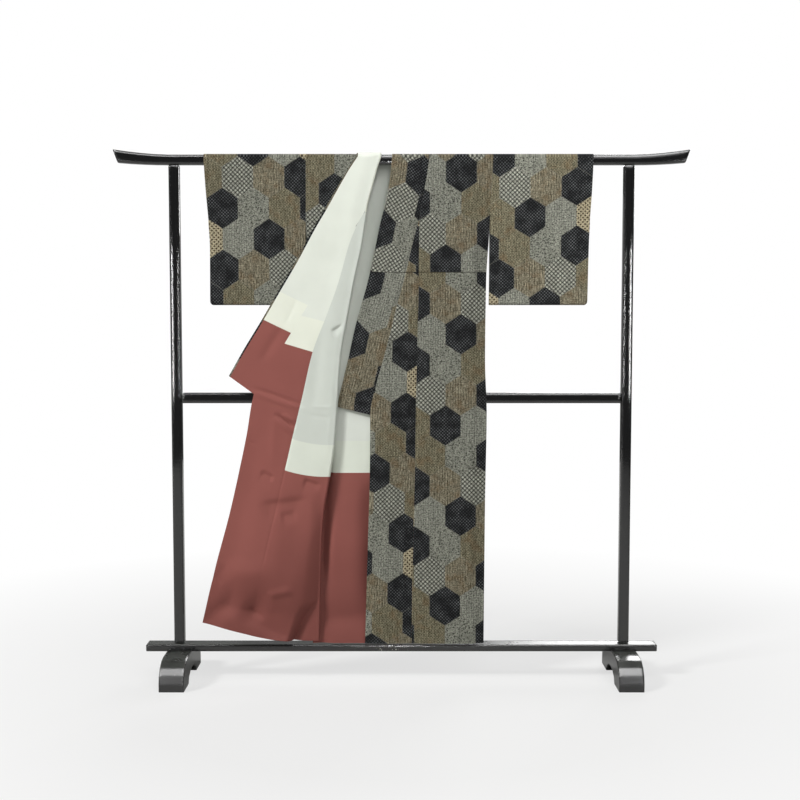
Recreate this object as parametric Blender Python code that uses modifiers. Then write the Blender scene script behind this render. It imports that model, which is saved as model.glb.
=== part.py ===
"""Lined silk kimono hung on a lacquered kimono rack.

Metres, +Z up, +X to the right as the rack is seen from the front, and the front faces -Y. The
origin is on the floor under the middle of the rack. "Left" and "right" are as seen from the
front. The kimono's left front is turned outwards, so that its lining faces the front.
"""
import math

import bmesh
import bpy
from mathutils import Vector

COLLECTION = "silk_kimono_on_rack"
CM = 0.01                 # the cutting tables below are in centimetres
CLEAR = 0.0003            # kept between pieces that touch

# rack
BAR_WIDTH = 0.032         # square section of the top bar
BAR_TOP = 1.701
BAR_ROUND = 0.007         # rounding along its edges
BAR_REACH = 0.921         # half its length, at the tips
BAR_STRAIGHT = 0.745      # half of the straight stretch
TIP_RISE = 0.0165         # how far the upper edge sweeps up at the tips
TIP_LIFT = 0.0070         # how far the lower edge does
TIP_SLANT = 0.015         # how far the end cut leans in
POST_WIDTH = 0.033
POST_ROUND = 0.005
POST_APART = 1.456        # between the posts' middles
MID_RAIL_TOP = 0.9385
BASE_LENGTH = 1.670
BASE_DEPTH = 0.056
BASE_TOP = 0.1155
BASE_HEIGHT = 0.0225
BASE_ROUND = 0.003
FOOT_WIDTH = 0.080
FOOT_LENGTH = 0.340
FOOT_FLAT = 0.170         # level stretch of its back
TOE_HEIGHT = 0.024
ARCH_WIDTH = 0.150
ARCH_HEIGHT = 0.036

# cloth
CLOTH = 0.0016            # silk and its backing
LINING = 0.0012
FIRST_LAYER = 0.0015      # middle of the first layer of cloth, off the bar
SLEEVE_JOIN = 148.6       # the sleeve is sewn to the body above this height, cm
SIDE_SEAM_TOP = 135.0     # front and back are sewn together below this one
SIDE_ROUND = 5.0          # the sheets draw together over this far from the side seam
CENTRE = -1.0             # centre back seam
NECK = {"left": -10.9, "right": 8.8}
NECK_DIP = 0.8            # how far the back neckline is cut below the shoulder
LINING_CHANGE = 68.0      # the white lining gives way to the red one at this height

# the hanging sheets: height, depth of the front one, depth of the back one
DRAPE = (
    (1.694, -0.0175, 0.0175),
    (1.665, -0.0178, 0.0175),
    (0.945, -0.0285, -0.0183),
    (0.120, -0.0375, -0.0205),
)
# side edges of the body: height, left, right
SIDES = (
    (169.4, -30.5, 29.3),
    (148.6, -30.6, 28.2),
    (140.5, -29.8, 27.4),
    (130.0, -29.4, 27.1),
    (105.0, -29.2, 26.9),
    (87.0, -29.4, 27.5),
    (59.0, -29.2, 27.1),
    (12.2, -29.0, 26.8),
)
BACK_HEIGHTS = (169.4, 166.5, 160.0, 148.6, 140.5, 130.0, 118.0, 105.0, 94.5, 82.0, 68.0, 56.0,
                44.0, 33.0, 22.0, 12.2)
# the front that hangs straight: height, collar's edge, collar seam (lower down, the overlap's
# front edge), overlap seam
RIGHT_FRONT = (
    (163.5, -3.6, 8.1, 8.1),
    (154.5, -5.2, 6.4, 6.4),
    (149.0, -6.6, 5.4, 5.7),
    (140.5, -8.4, 3.2, 5.6),
    (130.5, -10.6, 0.9, 5.5),
    (122.5, -12.8, -1.4, 5.4),
    (115.0, -14.9, -3.2, 5.2),
    (105.0, -17.1, -5.8, 5.0),
    (98.0, -18.8, -7.8, 4.8),
    (86.9, -20.5, -10.1, 4.6),
    (72.0, None, -10.2, 4.4),
    (59.0, None, -10.5, 4.1),
    (46.0, None, -10.9, 3.8),
    (33.0, None, -11.3, 3.5),
    (22.0, None, -11.6, 3.4),
    (12.2, None, -11.9, 3.3),
)
RIGHT_TIP_ROW = 2         # the overlap's upper tip
RIGHT_COLLAR_ROWS = 10
RIGHT_COLLAR_CORNER = 89.4
RIGHT_COLLAR_EDGE = -3.0  # collar's edge where it lies on the bar
# the front that is turned out: height of the overlap's front edge and its place across (None
# on the collar seam), overlap seam across and up, fold across and up
LEFT_FRONT = (
    (150.5, None, None, 150.5, -11.4, 151.0),
    (147.1, None, -14.4, 147.3, -11.9, 147.5),
    (141.8, None, -16.7, 141.6, -12.7, 142.0),
    (131.0, None, -20.0, 130.0, -15.2, 130.5),
    (120.5, None, -23.9, 119.0, -17.4, 118.5),
    (109.9, None, -28.5, 107.2, -19.6, 106.0),
    (93.7, None, -32.0, 92.5, -20.7, 91.0),
    (80.5, -49.8, -35.2, 79.5, -21.7, 77.5),
    (70.0, -52.0, -37.6, 69.2, -23.2, 67.0),
    (55.0, -55.4, -41.1, 54.0, -25.6, 52.0),
    (40.0, -59.4, -44.7, 38.5, -26.3, 36.5),
    (27.3, -62.6, -47.6, 25.0, -26.7, 23.0),
    (19.6, -64.5, -49.6, 15.9, -27.0, 13.1),
)
LEFT_TIP_ROW = 1
OVERLAP_CHANGE_ROW = 5    # the overlap's lining turns red at this row
BODY_CHANGE_ROW = 8       # and the body's at this one
SEAM_START = (-11.7, 152.0)    # the turned-out collar's seam is straight: across, up
SEAM_LEAN = 0.6124
# the collar that is turned out: outer edge across and up, its fold across, or None on the
# seam, and the height of that fold or seam
LEFT_COLLAR = (
    (-17.3, 165.0, -8.1, 165.0),
    (-20.4, 159.8, -9.6, 159.3),
    (-24.4, 152.9, -11.3, 152.2),
    (-27.9, 147.0, None, 141.8),
    (-33.4, 136.8, None, 131.0),
    (-39.6, 126.3, None, 120.5),
    (-44.6, 117.7, None, 113.3),
    (-50.6, 107.9, None, 102.8),
    (-55.4, 99.5, None, 93.7),
)
LEFT_BAR_EDGE = -14.3     # its outer edge and its fold where it lies on the bar
LEFT_BAR_FOLD = -6.6
FOLDED_ROWS = 3           # rows of the table above at which the collar itself is folded
COLLAR_CHANGE_ROW = 6
# the turned-out layer: height, radius of its fold, depth of the layer away from the fold
TURNED = (
    (1.694, 0.0016, -0.0207),
    (1.530, 0.0030, -0.0265),
    (0.945, 0.0050, -0.0395),
    (0.120, 0.0080, -0.0510),
)
FOLD_SPREAD = 6.0         # the fold's round runs out this far into the layer, cm
HEM_SAG = 0.9             # the turned-out hem hangs this far below its chord, cm
# sleeve section: height, front and back beside the body, front and back at the cuff
SLEEVE_SHAPE = (
    (1.694, -0.0175, 0.0175, -0.0175, 0.0175),
    (1.665, -0.0178, 0.0178, -0.0178, 0.0178),
    (1.600, -0.0186, 0.0129, -0.0120, 0.0120),
    (1.486, -0.0199, 0.0074, -0.0022, 0.0022),
    (1.360, -0.0150, 0.0050, -0.0022, 0.0022),
    (1.260, -0.0110, 0.0030, -0.0022, 0.0022),
)
CUFF_LEVEL = 3            # the wrist opening ends at this level, and the edge is sewn below
SLEEVE_HEM = 1.222
HEM_ROUND = 0.009
CORNER_ROUND = 0.016
SLEEVE_SHARES = (0.0, 0.3, 0.65, 0.93, 1.0)
# sleeve edges: height, left cuff, left inner edge, right inner edge, right cuff
SLEEVE_EDGES = (
    (169.4, -63.1, -30.5, 29.3, 61.2),
    (158.8, -62.6, -30.55, 28.75, 60.9),
    (148.6, -61.9, -30.6, 28.2, 60.4),
    (141.0, -61.5, -30.6, 28.2, 60.1),
    (122.2, -61.6, -30.7, 28.1, 59.8),
)
BACK_COLLAR = 0.0024      # the folded collar behind the neck is double
BACK_COLLAR_DROP = 0.055
BACK_COLLAR_TOP = 1.6965
BACK_COLLAR_REACH = 1.2   # past the neck points, cm

FINISHES = {
    "black lacquer": ((0.006, 0.006, 0.006), 0.12),
    "patterned silk": ((0.16, 0.15, 0.13), 0.65),
    "white lining": ((0.69, 0.71, 0.65), 0.55),
    "red lining": ((0.27, 0.085, 0.075), 0.60),
}


def material(kind):
    mat = bpy.data.materials.get(kind)
    if mat is None:
        colour, roughness = FINISHES[kind]
        mat = bpy.data.materials.new(kind)
        mat.use_nodes = True
        shader = mat.node_tree.nodes["Principled BSDF"]
        shader.inputs["Base Color"].default_value = (*colour, 1.0)
        shader.inputs["Roughness"].default_value = roughness
        shader.inputs["Metallic"].default_value = 0.0
    return mat


def add_object(name, data, kind):
    obj = bpy.data.objects.new(name, data)
    bpy.data.collections[COLLECTION].objects.link(obj)
    obj.data.materials.append(material(kind))
    return obj


# ---------------------------------------------------------------- rack

def bevel(obj, width, segments=3):
    edge = obj.modifiers.new("rounded edges", "BEVEL")
    edge.width = width
    edge.segments = segments
    edge.limit_method = "ANGLE"
    edge.angle_limit = math.radians(40)


def beam(name, size, centre, rounding):
    """A straight stick of rectangular section with rounded edges."""
    bm = bmesh.new()
    bmesh.ops.create_cube(bm, size=1.0)
    bmesh.ops.scale(bm, vec=size, verts=bm.verts)
    mesh = bpy.data.meshes.new(name)
    bm.to_mesh(mesh)
    bm.free()
    obj = add_object(name, mesh, "black lacquer")
    obj.location = centre
    bevel(obj, rounding)
    return obj


def board(name, outline, thickness, centre, turn, rounding):
    """A flat outline, given across and up, cut from stock of this thickness."""
    curve = bpy.data.curves.new(name, "CURVE")
    curve.dimensions = "2D"
    curve.fill_mode = "BOTH"
    curve.extrude = thickness / 2
    spline = curve.splines.new("POLY")
    spline.points.add(len(outline) - 1)
    for point, (across, up) in zip(spline.points, outline):
        point.co = (across, up, 0.0, 1.0)
    spline.use_cyclic_u = True
    obj = add_object(name, curve, "black lacquer")
    obj.location = centre
    obj.rotation_euler = (math.radians(90), 0.0, turn)
    weld = obj.modifiers.new("weld", "WELD")
    weld.merge_threshold = 0.0001
    bevel(obj, rounding)
    return obj


def rounded_section(low, high):
    """Square section with rounded edges: depth and height, once round."""
    inset = BAR_WIDTH / 2 - BAR_ROUND
    corners = ((inset, high - BAR_ROUND, 0), (-inset, high - BAR_ROUND, 90),
               (-inset, low + BAR_ROUND, 180), (inset, low + BAR_ROUND, 270))
    return [(y + BAR_ROUND * math.cos(math.radians(start + a)),
             z + BAR_ROUND * math.sin(math.radians(start + a)))
            for y, z, start in corners for a in (0, 30, 60, 90)]


def bar_ring(side, share):
    """Section of the top bar at a share of the way along its swept end."""
    low = BAR_TOP - BAR_WIDTH + TIP_LIFT * share ** 2
    high = BAR_TOP + TIP_RISE * share ** 1.6
    tip = BAR_STRAIGHT + (BAR_REACH - BAR_STRAIGHT) * share
    return [Vector((side * (tip - TIP_SLANT * share * (high - z) / (high - low)), y, z))
            for y, z in rounded_section(low, high)]


def build_top_bar():
    """The top bar, whose two ends sweep up to a slanted cut."""
    shares = (0.0, 0.25, 0.5, 0.75, 1.0)
    rings = [bar_ring(-1, share) for share in reversed(shares)]
    rings += [bar_ring(1, share) for share in shares]
    bm = bmesh.new()
    loops = [[bm.verts.new(point) for point in ring] for ring in rings]
    for near, far in zip(loops, loops[1:]):
        for i in range(len(near)):
            bm.faces.new((near[i - 1], near[i], far[i], far[i - 1]))
    bm.faces.new(loops[0])
    bm.faces.new(loops[-1])
    bmesh.ops.recalc_face_normals(bm, faces=bm.faces)
    mesh = bpy.data.meshes.new("top_bar")
    bm.to_mesh(mesh)
    bm.free()
    mesh.shade_smooth()
    mesh.set_sharp_from_angle(angle=math.radians(40))
    return add_object("top_bar", mesh, "black lacquer")


def foot_outline():
    """Side view of a foot: level on top, rounded toes, and an arch between them."""
    top = BASE_TOP - BASE_HEIGHT - CLEAR
    toe = FOOT_LENGTH / 2 - FOOT_FLAT / 2
    rise = top - TOE_HEIGHT
    half = [(ARCH_WIDTH / 2 * math.cos(math.radians(a)), ARCH_HEIGHT * math.sin(math.radians(a)))
            for a in (90, 60, 30, 0)]
    half.append((FOOT_LENGTH / 2, 0.0))
    half += [(FOOT_FLAT / 2 + toe * math.cos(math.radians(a)),
              TOE_HEIGHT + rise * math.sin(math.radians(a))) for a in (0, 22, 45, 68, 90)]
    return half + [(-y, z) for y, z in reversed(half[1:])]


def build_rack():
    post_bottom, post_top = BASE_TOP + CLEAR, BAR_TOP - BAR_WIDTH - CLEAR
    build_top_bar()
    beam("base_rail", (BASE_LENGTH, BASE_DEPTH, BASE_HEIGHT),
         (0, 0, BASE_TOP - BASE_HEIGHT / 2), BASE_ROUND)
    span = POST_APART - POST_WIDTH - 2 * CLEAR
    beam("mid_rail", (span, POST_WIDTH, POST_WIDTH),
         (0, 0, MID_RAIL_TOP - POST_WIDTH / 2), POST_ROUND)
    for side, sign in (("left", -1), ("right", 1)):
        across = sign * POST_APART / 2
        beam("post_" + side, (POST_WIDTH, POST_WIDTH, post_top - post_bottom),
             (across, 0, (post_top + post_bottom) / 2), POST_ROUND)
        board("foot_" + side, foot_outline(), FOOT_WIDTH, (across, 0, 0),
              math.radians(90), BASE_ROUND)


# ---------------------------------------------------------------- cloth walls

def look_up(table, at, column):
    """Straight-line value of a table whose first column falls from row to row."""
    if at >= table[0][0]:
        return table[0][column]
    for upper, lower in zip(table, table[1:]):
        if at >= lower[0]:
            share = (upper[0] - at) / (upper[0] - lower[0])
            return blend(upper[column], lower[column], share)
    return table[-1][column]


def blend(a, b, share):
    return a + (b - a) * share


def ease(share):
    share = min(max(share, 0.0), 1.0)
    return share * share * (3.0 - 2.0 * share)


def spread(a, b, count):
    return [blend(a, b, i / (count - 1)) for i in range(count)]


def cloth(name, grids, kind, thickness=CLOTH, extra=()):
    """A closed wall of even thickness around the sheet that the grids of points make."""
    bm = bmesh.new()
    for rows in grids:
        verts = [[bm.verts.new(point) for point in row] for row in rows]
        for near, far in zip(verts, verts[1:]):
            for i in range(len(near) - 1):
                bm.faces.new((near[i], near[i + 1], far[i + 1], far[i]))
    for corners in extra:
        bm.faces.new([bm.verts.new(point) for point in corners])
    bmesh.ops.remove_doubles(bm, verts=bm.verts, dist=0.00001)
    bmesh.ops.recalc_face_normals(bm, faces=bm.faces)
    mesh = bpy.data.meshes.new(name)
    bm.to_mesh(mesh)
    bm.free()
    mesh.shade_smooth()
    obj = add_object(name, mesh, kind)
    wall = obj.modifiers.new("wall", "SOLIDIFY")
    wall.thickness = thickness
    wall.offset = 0.0
    wall.use_even_offset = True
    return obj


def lining_over(name, rows, kind, trim_start=False, trim_end=False):
    """A lining laid on a panel: the panel's points moved out along its normals."""
    distance = CLOTH / 2 + CLEAR + LINING / 2
    moved = []
    for r, row in enumerate(rows):
        above, below = rows[max(r - 1, 0)], rows[min(r + 1, len(rows) - 1)]
        line = []
        for i, point in enumerate(row):
            across = row[min(i + 1, len(row) - 1)] - row[max(i - 1, 0)]
            normal = across.cross(below[i] - above[i]).normalized()
            line.append(point + normal * distance)
        moved.append(line)
    if trim_start:
        moved[0] = nudged(moved[0], moved[1])
    if trim_end:
        moved[-1] = nudged(moved[-1], moved[-2])
    return cloth(name, [moved], kind, LINING)


def nudged(row, towards):
    """A row moved half a seam's gap towards its neighbour."""
    return [a + (b - a).normalized() * CLEAR / 2 for a, b in zip(row, towards)]


def over_bar(off):
    """Depth and height of a sheet that lies over the bar, from its front to its back."""
    radius = BAR_ROUND + off
    side = BAR_WIDTH / 2 - BAR_ROUND
    top = BAR_TOP - BAR_ROUND
    front = [(-side - radius * math.cos(math.radians(a)), top + radius * math.sin(math.radians(a)))
             for a in (0, 30, 60, 90)]
    return front + [(-y, z) for y, z in reversed(front)]


def flutes(x, z):
    """Slack of the hanging sheets, which grows towards the hem."""
    slack = 0.0015 * ease((1.3 - z) / 1.1)
    return slack * (math.sin(27.0 * x + 0.4) + 0.6 * math.sin(46.0 * x + 1.1))


def side_at(z, side):
    return look_up(SIDES, z / CM, 1 if side == "left" else 2) * CM


def hanging(x, z, side, is_front):
    """A point of the body's front or back sheet."""
    front, back = look_up(DRAPE, z, 1), look_up(DRAPE, z, 2)
    half_seam = (CLOTH + CLEAR) / 2
    if is_front:
        plane, seam = front + flutes(x, z), (front + back) / 2 - half_seam
    else:
        plane, seam = back, (front + back) / 2 + half_seam
    closed = ease((SLEEVE_JOIN * CM - z) / ((SLEEVE_JOIN - SIDE_SEAM_TOP) * CM))
    pull = closed * (1.0 - ease(abs(x - side_at(z, side)) / (SIDE_ROUND * CM)))
    return Vector((x, blend(plane, seam, pull), z))


# ---------------------------------------------------------------- body and overlap

def seam_gap(side):
    """Half a seam's gap, signed towards the middle of the kimono."""
    return CLEAR / 2 if side == "left" else -CLEAR / 2


def across_body(side_edge, inner):
    """Places across a sheet, closer together near its sewn side."""
    return [blend(side_edge, inner, share) for share in (0.0, 0.09, 0.22, 0.55, 1.0)]


def back_rows(side):
    """The back sheet from the neck down to the hem, from its side edge to the centre seam."""
    gap = seam_gap(side)
    neck = NECK[side] * CM - gap
    rows = []
    for height in BACK_HEIGHTS:
        z = height * CM
        places = across_body(side_at(z, side) + gap, neck)
        rows.append([hanging(x, z, side, False) for x in places])
        dip = NECK_DIP * CM if height == BACK_HEIGHTS[0] else 0.0
        for x in spread(neck, CENTRE * CM - gap, 3)[1:]:
            rows[-1].append(hanging(x, z - dip, side, False))
    return rows


def shoulder_rows(side):
    """The stretch of the body that lies on the bar, from its back to its front."""
    gap = seam_gap(side)
    edge = side_at(BAR_TOP, side) + gap
    inner = NECK[side] * CM - gap
    return [[Vector((x, y, z)) for x in across_body(edge, inner)]
            for y, z in reversed(over_bar(FIRST_LAYER))]


def straight_front_rows():
    """The right front from the bar to the hem, from its side edge to the overlap seam."""
    gap = seam_gap("right")
    top = BAR_TOP - BAR_ROUND
    rows = [[hanging(x, top, "right", True)
             for x in across_body(side_at(top, "right") + gap, NECK["right"] * CM - gap)]]
    for height, _, _, seam in RIGHT_FRONT:
        z = height * CM
        places = across_body(side_at(z, "right") + gap, seam * CM - gap)
        rows.append([hanging(x, z, "right", True) for x in places])
    return rows


def straight_overlap_rows():
    """The right overlap from its upper tip to the hem."""
    gap = CLEAR / 2
    return [[hanging(x, height * CM, "right", True)
             for x in spread(inner * CM + gap, seam * CM - gap, 4)]
            for height, _, inner, seam in RIGHT_FRONT[RIGHT_TIP_ROW:]]


def seam_across(height):
    """Place of the turned-out collar's seam at a height, in centimetres."""
    return SEAM_START[0] - SEAM_LEAN * (SEAM_START[1] - height)


FOLD_LINE = (
    ((BAR_TOP / CM, LEFT_BAR_FOLD),)
    + tuple((row[3], row[2]) for row in LEFT_COLLAR[:FOLDED_ROWS])
    + tuple((row[5], row[4]) for row in LEFT_FRONT)
)


def fold_at(z):
    """Where the left front's fold starts to turn, its radius and the depth behind it."""
    radius = look_up(TURNED, z, 1)
    start = look_up(FOLD_LINE, z / CM, 1) * CM - radius
    return start, radius, hanging(start, z, "left", True).y


def waves(x, z):
    """Broad soft folds of the turned-out layer, along its own slanting length."""
    slack = 0.0035 * ease((1.15 - z) / 0.8)
    across = 0.97 * x - 0.23 * z
    return slack * (math.sin(38.0 * across + 0.6) + 0.5 * math.sin(71.0 * across + 2.0))


def turned(x, z):
    """A point of the layer that is turned outwards, in front of its own fold."""
    start, radius, behind = fold_at(z)
    away = ease((start - x) / (FOLD_SPREAD * CM))
    layer = look_up(TURNED, z, 2) + waves(x, z)
    return Vector((x, blend(behind - 2 * radius, layer, away), z))


def behind_fold_rows():
    """The left front that still hangs straight, from its side edge to the fold."""
    gap = seam_gap("left")
    top = BAR_TOP - BAR_ROUND
    rows = []
    for z in (top, LEFT_COLLAR[0][3] * CM, LEFT_COLLAR[1][3] * CM):
        places = across_body(side_at(z, "left") + gap, NECK["left"] * CM - gap)
        rows.append([hanging(x, z, "left", True) for x in places])
    for row in LEFT_FRONT:
        z = row[5] * CM
        places = across_body(side_at(z, "left") + gap, fold_at(z)[0])
        rows.append([hanging(x, z, "left", True) for x in places])
    return rows


def fold_arc(z, first_angle):
    """Points round the fold, from behind it (-90 degrees) to its front (90)."""
    start, radius, behind = fold_at(z)
    return [Vector((start + radius * math.cos(math.radians(a)),
                    behind - radius - radius * math.sin(math.radians(a)), z))
            for a in range(first_angle, 91, 45)]


def turned_body_rows(first_angle):
    """The left front round its fold and out to the overlap seam."""
    rows = []
    for index, (_, _, seam, seam_up, _, fold_up) in enumerate(LEFT_FRONT):
        if seam is None:
            seam = seam_across(seam_up)
        sag = HEM_SAG * index / (len(LEFT_FRONT) - 1)
        line = fold_arc(fold_up * CM, first_angle)
        start = line[-1].x
        for share in (0.25, 0.5, 0.75, 1.0):
            up = blend(fold_up, seam_up, share) - 4 * sag * share * (1 - share)
            line.append(turned(blend(start, seam * CM + CLEAR / 2, share), up * CM))
        rows.append(line)
    return rows


def turned_overlap_rows():
    """The left overlap from its upper tip to the hem, overlap seam first."""
    rows = []
    for edge_up, edge, seam, seam_up, _, _ in LEFT_FRONT[LEFT_TIP_ROW:]:
        if edge is None:
            edge = seam_across(edge_up)
        rows.append([turned(blend(seam * CM - CLEAR / 2, edge * CM + CLEAR / 2, share),
                            blend(seam_up, edge_up, share) * CM)
                     for share in (0.0, 1 / 3, 2 / 3, 1.0)])
    return rows


def build_body():
    back_left = back_rows("left")
    cloth("body_left", [back_left, shoulder_rows("left"), behind_fold_rows(),
                        turned_body_rows(-90)], "patterned silk")
    cloth("body_right", [back_rows("right"), shoulder_rows("right"), straight_front_rows()],
          "patterned silk")
    cloth("overlap_left", [turned_overlap_rows()], "patterned silk")
    cloth("overlap_right", [straight_overlap_rows()], "patterned silk")

    front = turned_body_rows(0)
    lining_over("body_lining_left", front[:BODY_CHANGE_ROW + 1], "white lining", trim_end=True)
    lining_over("body_hem_lining_left", front[BODY_CHANGE_ROW:], "red lining", trim_start=True)
    overlap = turned_overlap_rows()
    change = OVERLAP_CHANGE_ROW - LEFT_TIP_ROW
    lining_over("overlap_lining_left", overlap[:change + 1], "white lining", trim_end=True)
    lining_over("overlap_hem_lining_left", overlap[change:], "red lining", trim_start=True)

    inside = [row[:1:-1] for row in back_left[1:]]
    change = BACK_HEIGHTS.index(LINING_CHANGE) - 1
    lining_over("back_lining", inside[:change + 1], "white lining", trim_end=True)
    lining_over("back_hem_lining", inside[change:], "red lining", trim_start=True)


# ---------------------------------------------------------------- collar

def collar_on_bar(off_places):
    """Rows over the bar, from behind it to its front, for places given as (across, off)."""
    rows = []
    for step in reversed(range(len(over_bar(0.0)) - 1)):
        rows.append([Vector((x, *over_bar(off)[step])) for x, off in off_places])
    return rows


def turned_collar_rows():
    """The visible layer of the left collar, from its fold or seam to its outer edge."""
    radius = TURNED[0][1]
    fold = LEFT_BAR_FOLD * CM - radius
    top_off = FIRST_LAYER + 2 * radius
    rows = collar_on_bar([(x, top_off) for x in spread(fold, LEFT_BAR_EDGE * CM, 4)])
    for edge, edge_up, fold, inner_up in LEFT_COLLAR:
        if fold is None:
            inner = seam_across(inner_up) * CM - CLEAR / 2
        else:
            inner = fold_at(inner_up * CM)[0]
        rows.append([turned(blend(inner, edge * CM, share), blend(inner_up, edge_up, share) * CM)
                     for share in (0.0, 1 / 3, 2 / 3, 1.0)])
    return rows


def collar_fold_grids():
    """The left collar from the neck seam, under its own fold and round it to its front."""
    radius = TURNED[0][1]
    neck = NECK["left"] * CM + CLEAR / 2
    start = LEFT_BAR_FOLD * CM - radius
    round_places = [(start + radius * math.cos(math.radians(a)),
                     FIRST_LAYER + radius + radius * math.sin(math.radians(a)))
                    for a in range(-90, 91, 45)]
    under = collar_on_bar([(neck, FIRST_LAYER)] + round_places[:3])
    front = collar_on_bar(round_places[2:])
    for _, _, _, up in LEFT_COLLAR[:FOLDED_ROWS]:
        arc = fold_arc(up * CM, -90)
        front.append(arc[2:])
        if len(under) < len(front) and arc[0].x > neck:
            under.append([hanging(neck, up * CM, "left", True)] + arc[:3])
    return under, front


def straight_collar_rows():
    """The right collar from behind the bar down its front to its square end."""
    edge = RIGHT_COLLAR_EDGE * CM
    neck = NECK["right"] * CM - CLEAR / 2
    rows = collar_on_bar([(x, FIRST_LAYER) for x in spread(edge, neck, 4)])
    for index, (height, outer, seam, _) in enumerate(RIGHT_FRONT[:RIGHT_COLLAR_ROWS]):
        outer_up = RIGHT_COLLAR_CORNER if index == RIGHT_COLLAR_ROWS - 1 else height
        rows.append([hanging(blend(outer, seam - CLEAR / 2 / CM, share) * CM,
                             blend(outer_up, height, share) * CM, "right", True)
                     for share in (0.0, 1 / 3, 2 / 3, 1.0)])
    return rows


def back_collar_rows():
    """The collar behind the neck, folded in two and lying outside the back."""
    near = look_up(DRAPE, BACK_COLLAR_TOP, 2) + CLOTH / 2 + CLEAR + BACK_COLLAR / 2
    left = (NECK["left"] - BACK_COLLAR_REACH) * CM
    right = (NECK["right"] + BACK_COLLAR_REACH) * CM
    rows = []
    for share in (0.0, 0.35, 0.7, 1.0):
        line = []
        for x in spread(left, right, 9):
            bow = 1.0 - ((x - CENTRE * CM) / (right - CENTRE * CM)) ** 2
            drop = BACK_COLLAR_DROP * share * (0.82 + 0.18 * bow)
            line.append(Vector((x, near + 0.004 * share * share, BACK_COLLAR_TOP - drop)))
        rows.append(line)
    return rows


def build_collar():
    turned_rows = turned_collar_rows()
    cloth("collar_left", [turned_rows, *collar_fold_grids()], "patterned silk")
    cloth("collar_right", [straight_collar_rows()], "patterned silk")
    cloth("collar_back", [back_collar_rows()], "patterned silk", BACK_COLLAR)
    change = len(turned_rows) - len(LEFT_COLLAR) + COLLAR_CHANGE_ROW
    lining_over("collar_lining_left", turned_rows[:change + 1], "white lining", trim_end=True)
    lining_over("collar_end_lining_left", turned_rows[change:], "red lining", trim_start=True)


# ---------------------------------------------------------------- sleeves

def sleeve_levels(share):
    """Front and back (depth, height) of a sleeve's section, down to just above its hem."""
    return ([(blend(body_front, cuff_front, share), z)
             for z, body_front, _, cuff_front, _ in SLEEVE_SHAPE[1:]],
            [(blend(body_back, cuff_back, share), z)
             for z, _, body_back, _, cuff_back in SLEEVE_SHAPE[1:]])


def sleeve_section(share):
    """Closed section: over the bar, down the front, round the hem and up the back."""
    front, back = sleeve_levels(share)
    hem = SLEEVE_HEM + CLOTH / 2
    hem += CORNER_ROUND * (1.0 - math.sqrt(1.0 - max(0.0, (share - 0.93) / 0.07) ** 2))
    middle = (front[-1][0] + back[-1][0]) / 2
    low = [(blend(front[-1][0], middle, 0.25), hem + HEM_ROUND), (middle, hem),
           (blend(back[-1][0], middle, 0.25), hem + HEM_ROUND)]
    return over_bar(FIRST_LAYER)[::-1] + front + low + back[::-1]


def build_sleeve(side):
    cuff, inner = (1, 2) if side == "left" else (4, 3)
    gap = -CLEAR / 2 if side == "left" else CLEAR / 2
    rows = []
    for share in SLEEVE_SHARES:
        ring = [Vector((blend(look_up(SLEEVE_EDGES, z / CM, inner) * CM + gap,
                              look_up(SLEEVE_EDGES, z / CM, cuff) * CM, share), y, z))
                for y, z in sleeve_section(share)]
        rows.append(ring + ring[:1])
    edge = rows[-1][:-1]
    first = len(over_bar(0.0)) + CUFF_LEVEL - 1
    sewn = [[edge[first + i], edge[len(edge) - CUFF_LEVEL - i]]
            for i in range(len(SLEEVE_SHAPE) - CUFF_LEVEL + 1)]
    hem = edge[first + len(sewn)]
    cloth("sleeve_" + side, [rows, sewn], "patterned silk", extra=[(*sewn[-1], hem)])


def clear_scene():
    for obj in list(bpy.data.objects):
        bpy.data.objects.remove(obj, do_unlink=True)


clear_scene()
bpy.context.scene.collection.children.link(bpy.data.collections.new(COLLECTION))
build_rack()
build_body()
build_collar()
for sleeve_side in ("left", "right"):
    build_sleeve(sleeve_side)
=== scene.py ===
"""Lined silk kimono on a lacquered rack, dressed around its solids.

Metres, +Z up, +X to the right as the rack is seen from the front, and the front faces -Y.
"Left" and "right" are as seen from the front.
"""
import math

import bmesh
import bpy
import numpy as np
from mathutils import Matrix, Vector


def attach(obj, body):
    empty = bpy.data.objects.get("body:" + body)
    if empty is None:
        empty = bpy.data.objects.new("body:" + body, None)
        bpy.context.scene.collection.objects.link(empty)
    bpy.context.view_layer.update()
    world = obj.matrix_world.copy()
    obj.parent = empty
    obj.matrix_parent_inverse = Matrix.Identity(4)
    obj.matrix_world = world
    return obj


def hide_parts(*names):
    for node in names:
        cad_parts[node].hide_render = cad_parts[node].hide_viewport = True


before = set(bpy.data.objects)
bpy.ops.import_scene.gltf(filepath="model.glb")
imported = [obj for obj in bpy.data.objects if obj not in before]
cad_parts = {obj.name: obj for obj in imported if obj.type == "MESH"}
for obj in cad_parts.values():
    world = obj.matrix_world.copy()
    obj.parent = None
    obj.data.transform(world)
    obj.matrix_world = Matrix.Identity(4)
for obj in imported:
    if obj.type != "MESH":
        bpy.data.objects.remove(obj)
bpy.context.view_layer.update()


# ---------------------------------------------------------------- rack
# The rack is planed softwood under several coats of black lacquer: a top bar with swept-up
# ends, two posts, a middle rail and a base rail on two arched feet, joined by hidden tenons.
# Dust has dulled its upper faces, and handling has rubbed small chips into the base.

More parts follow.
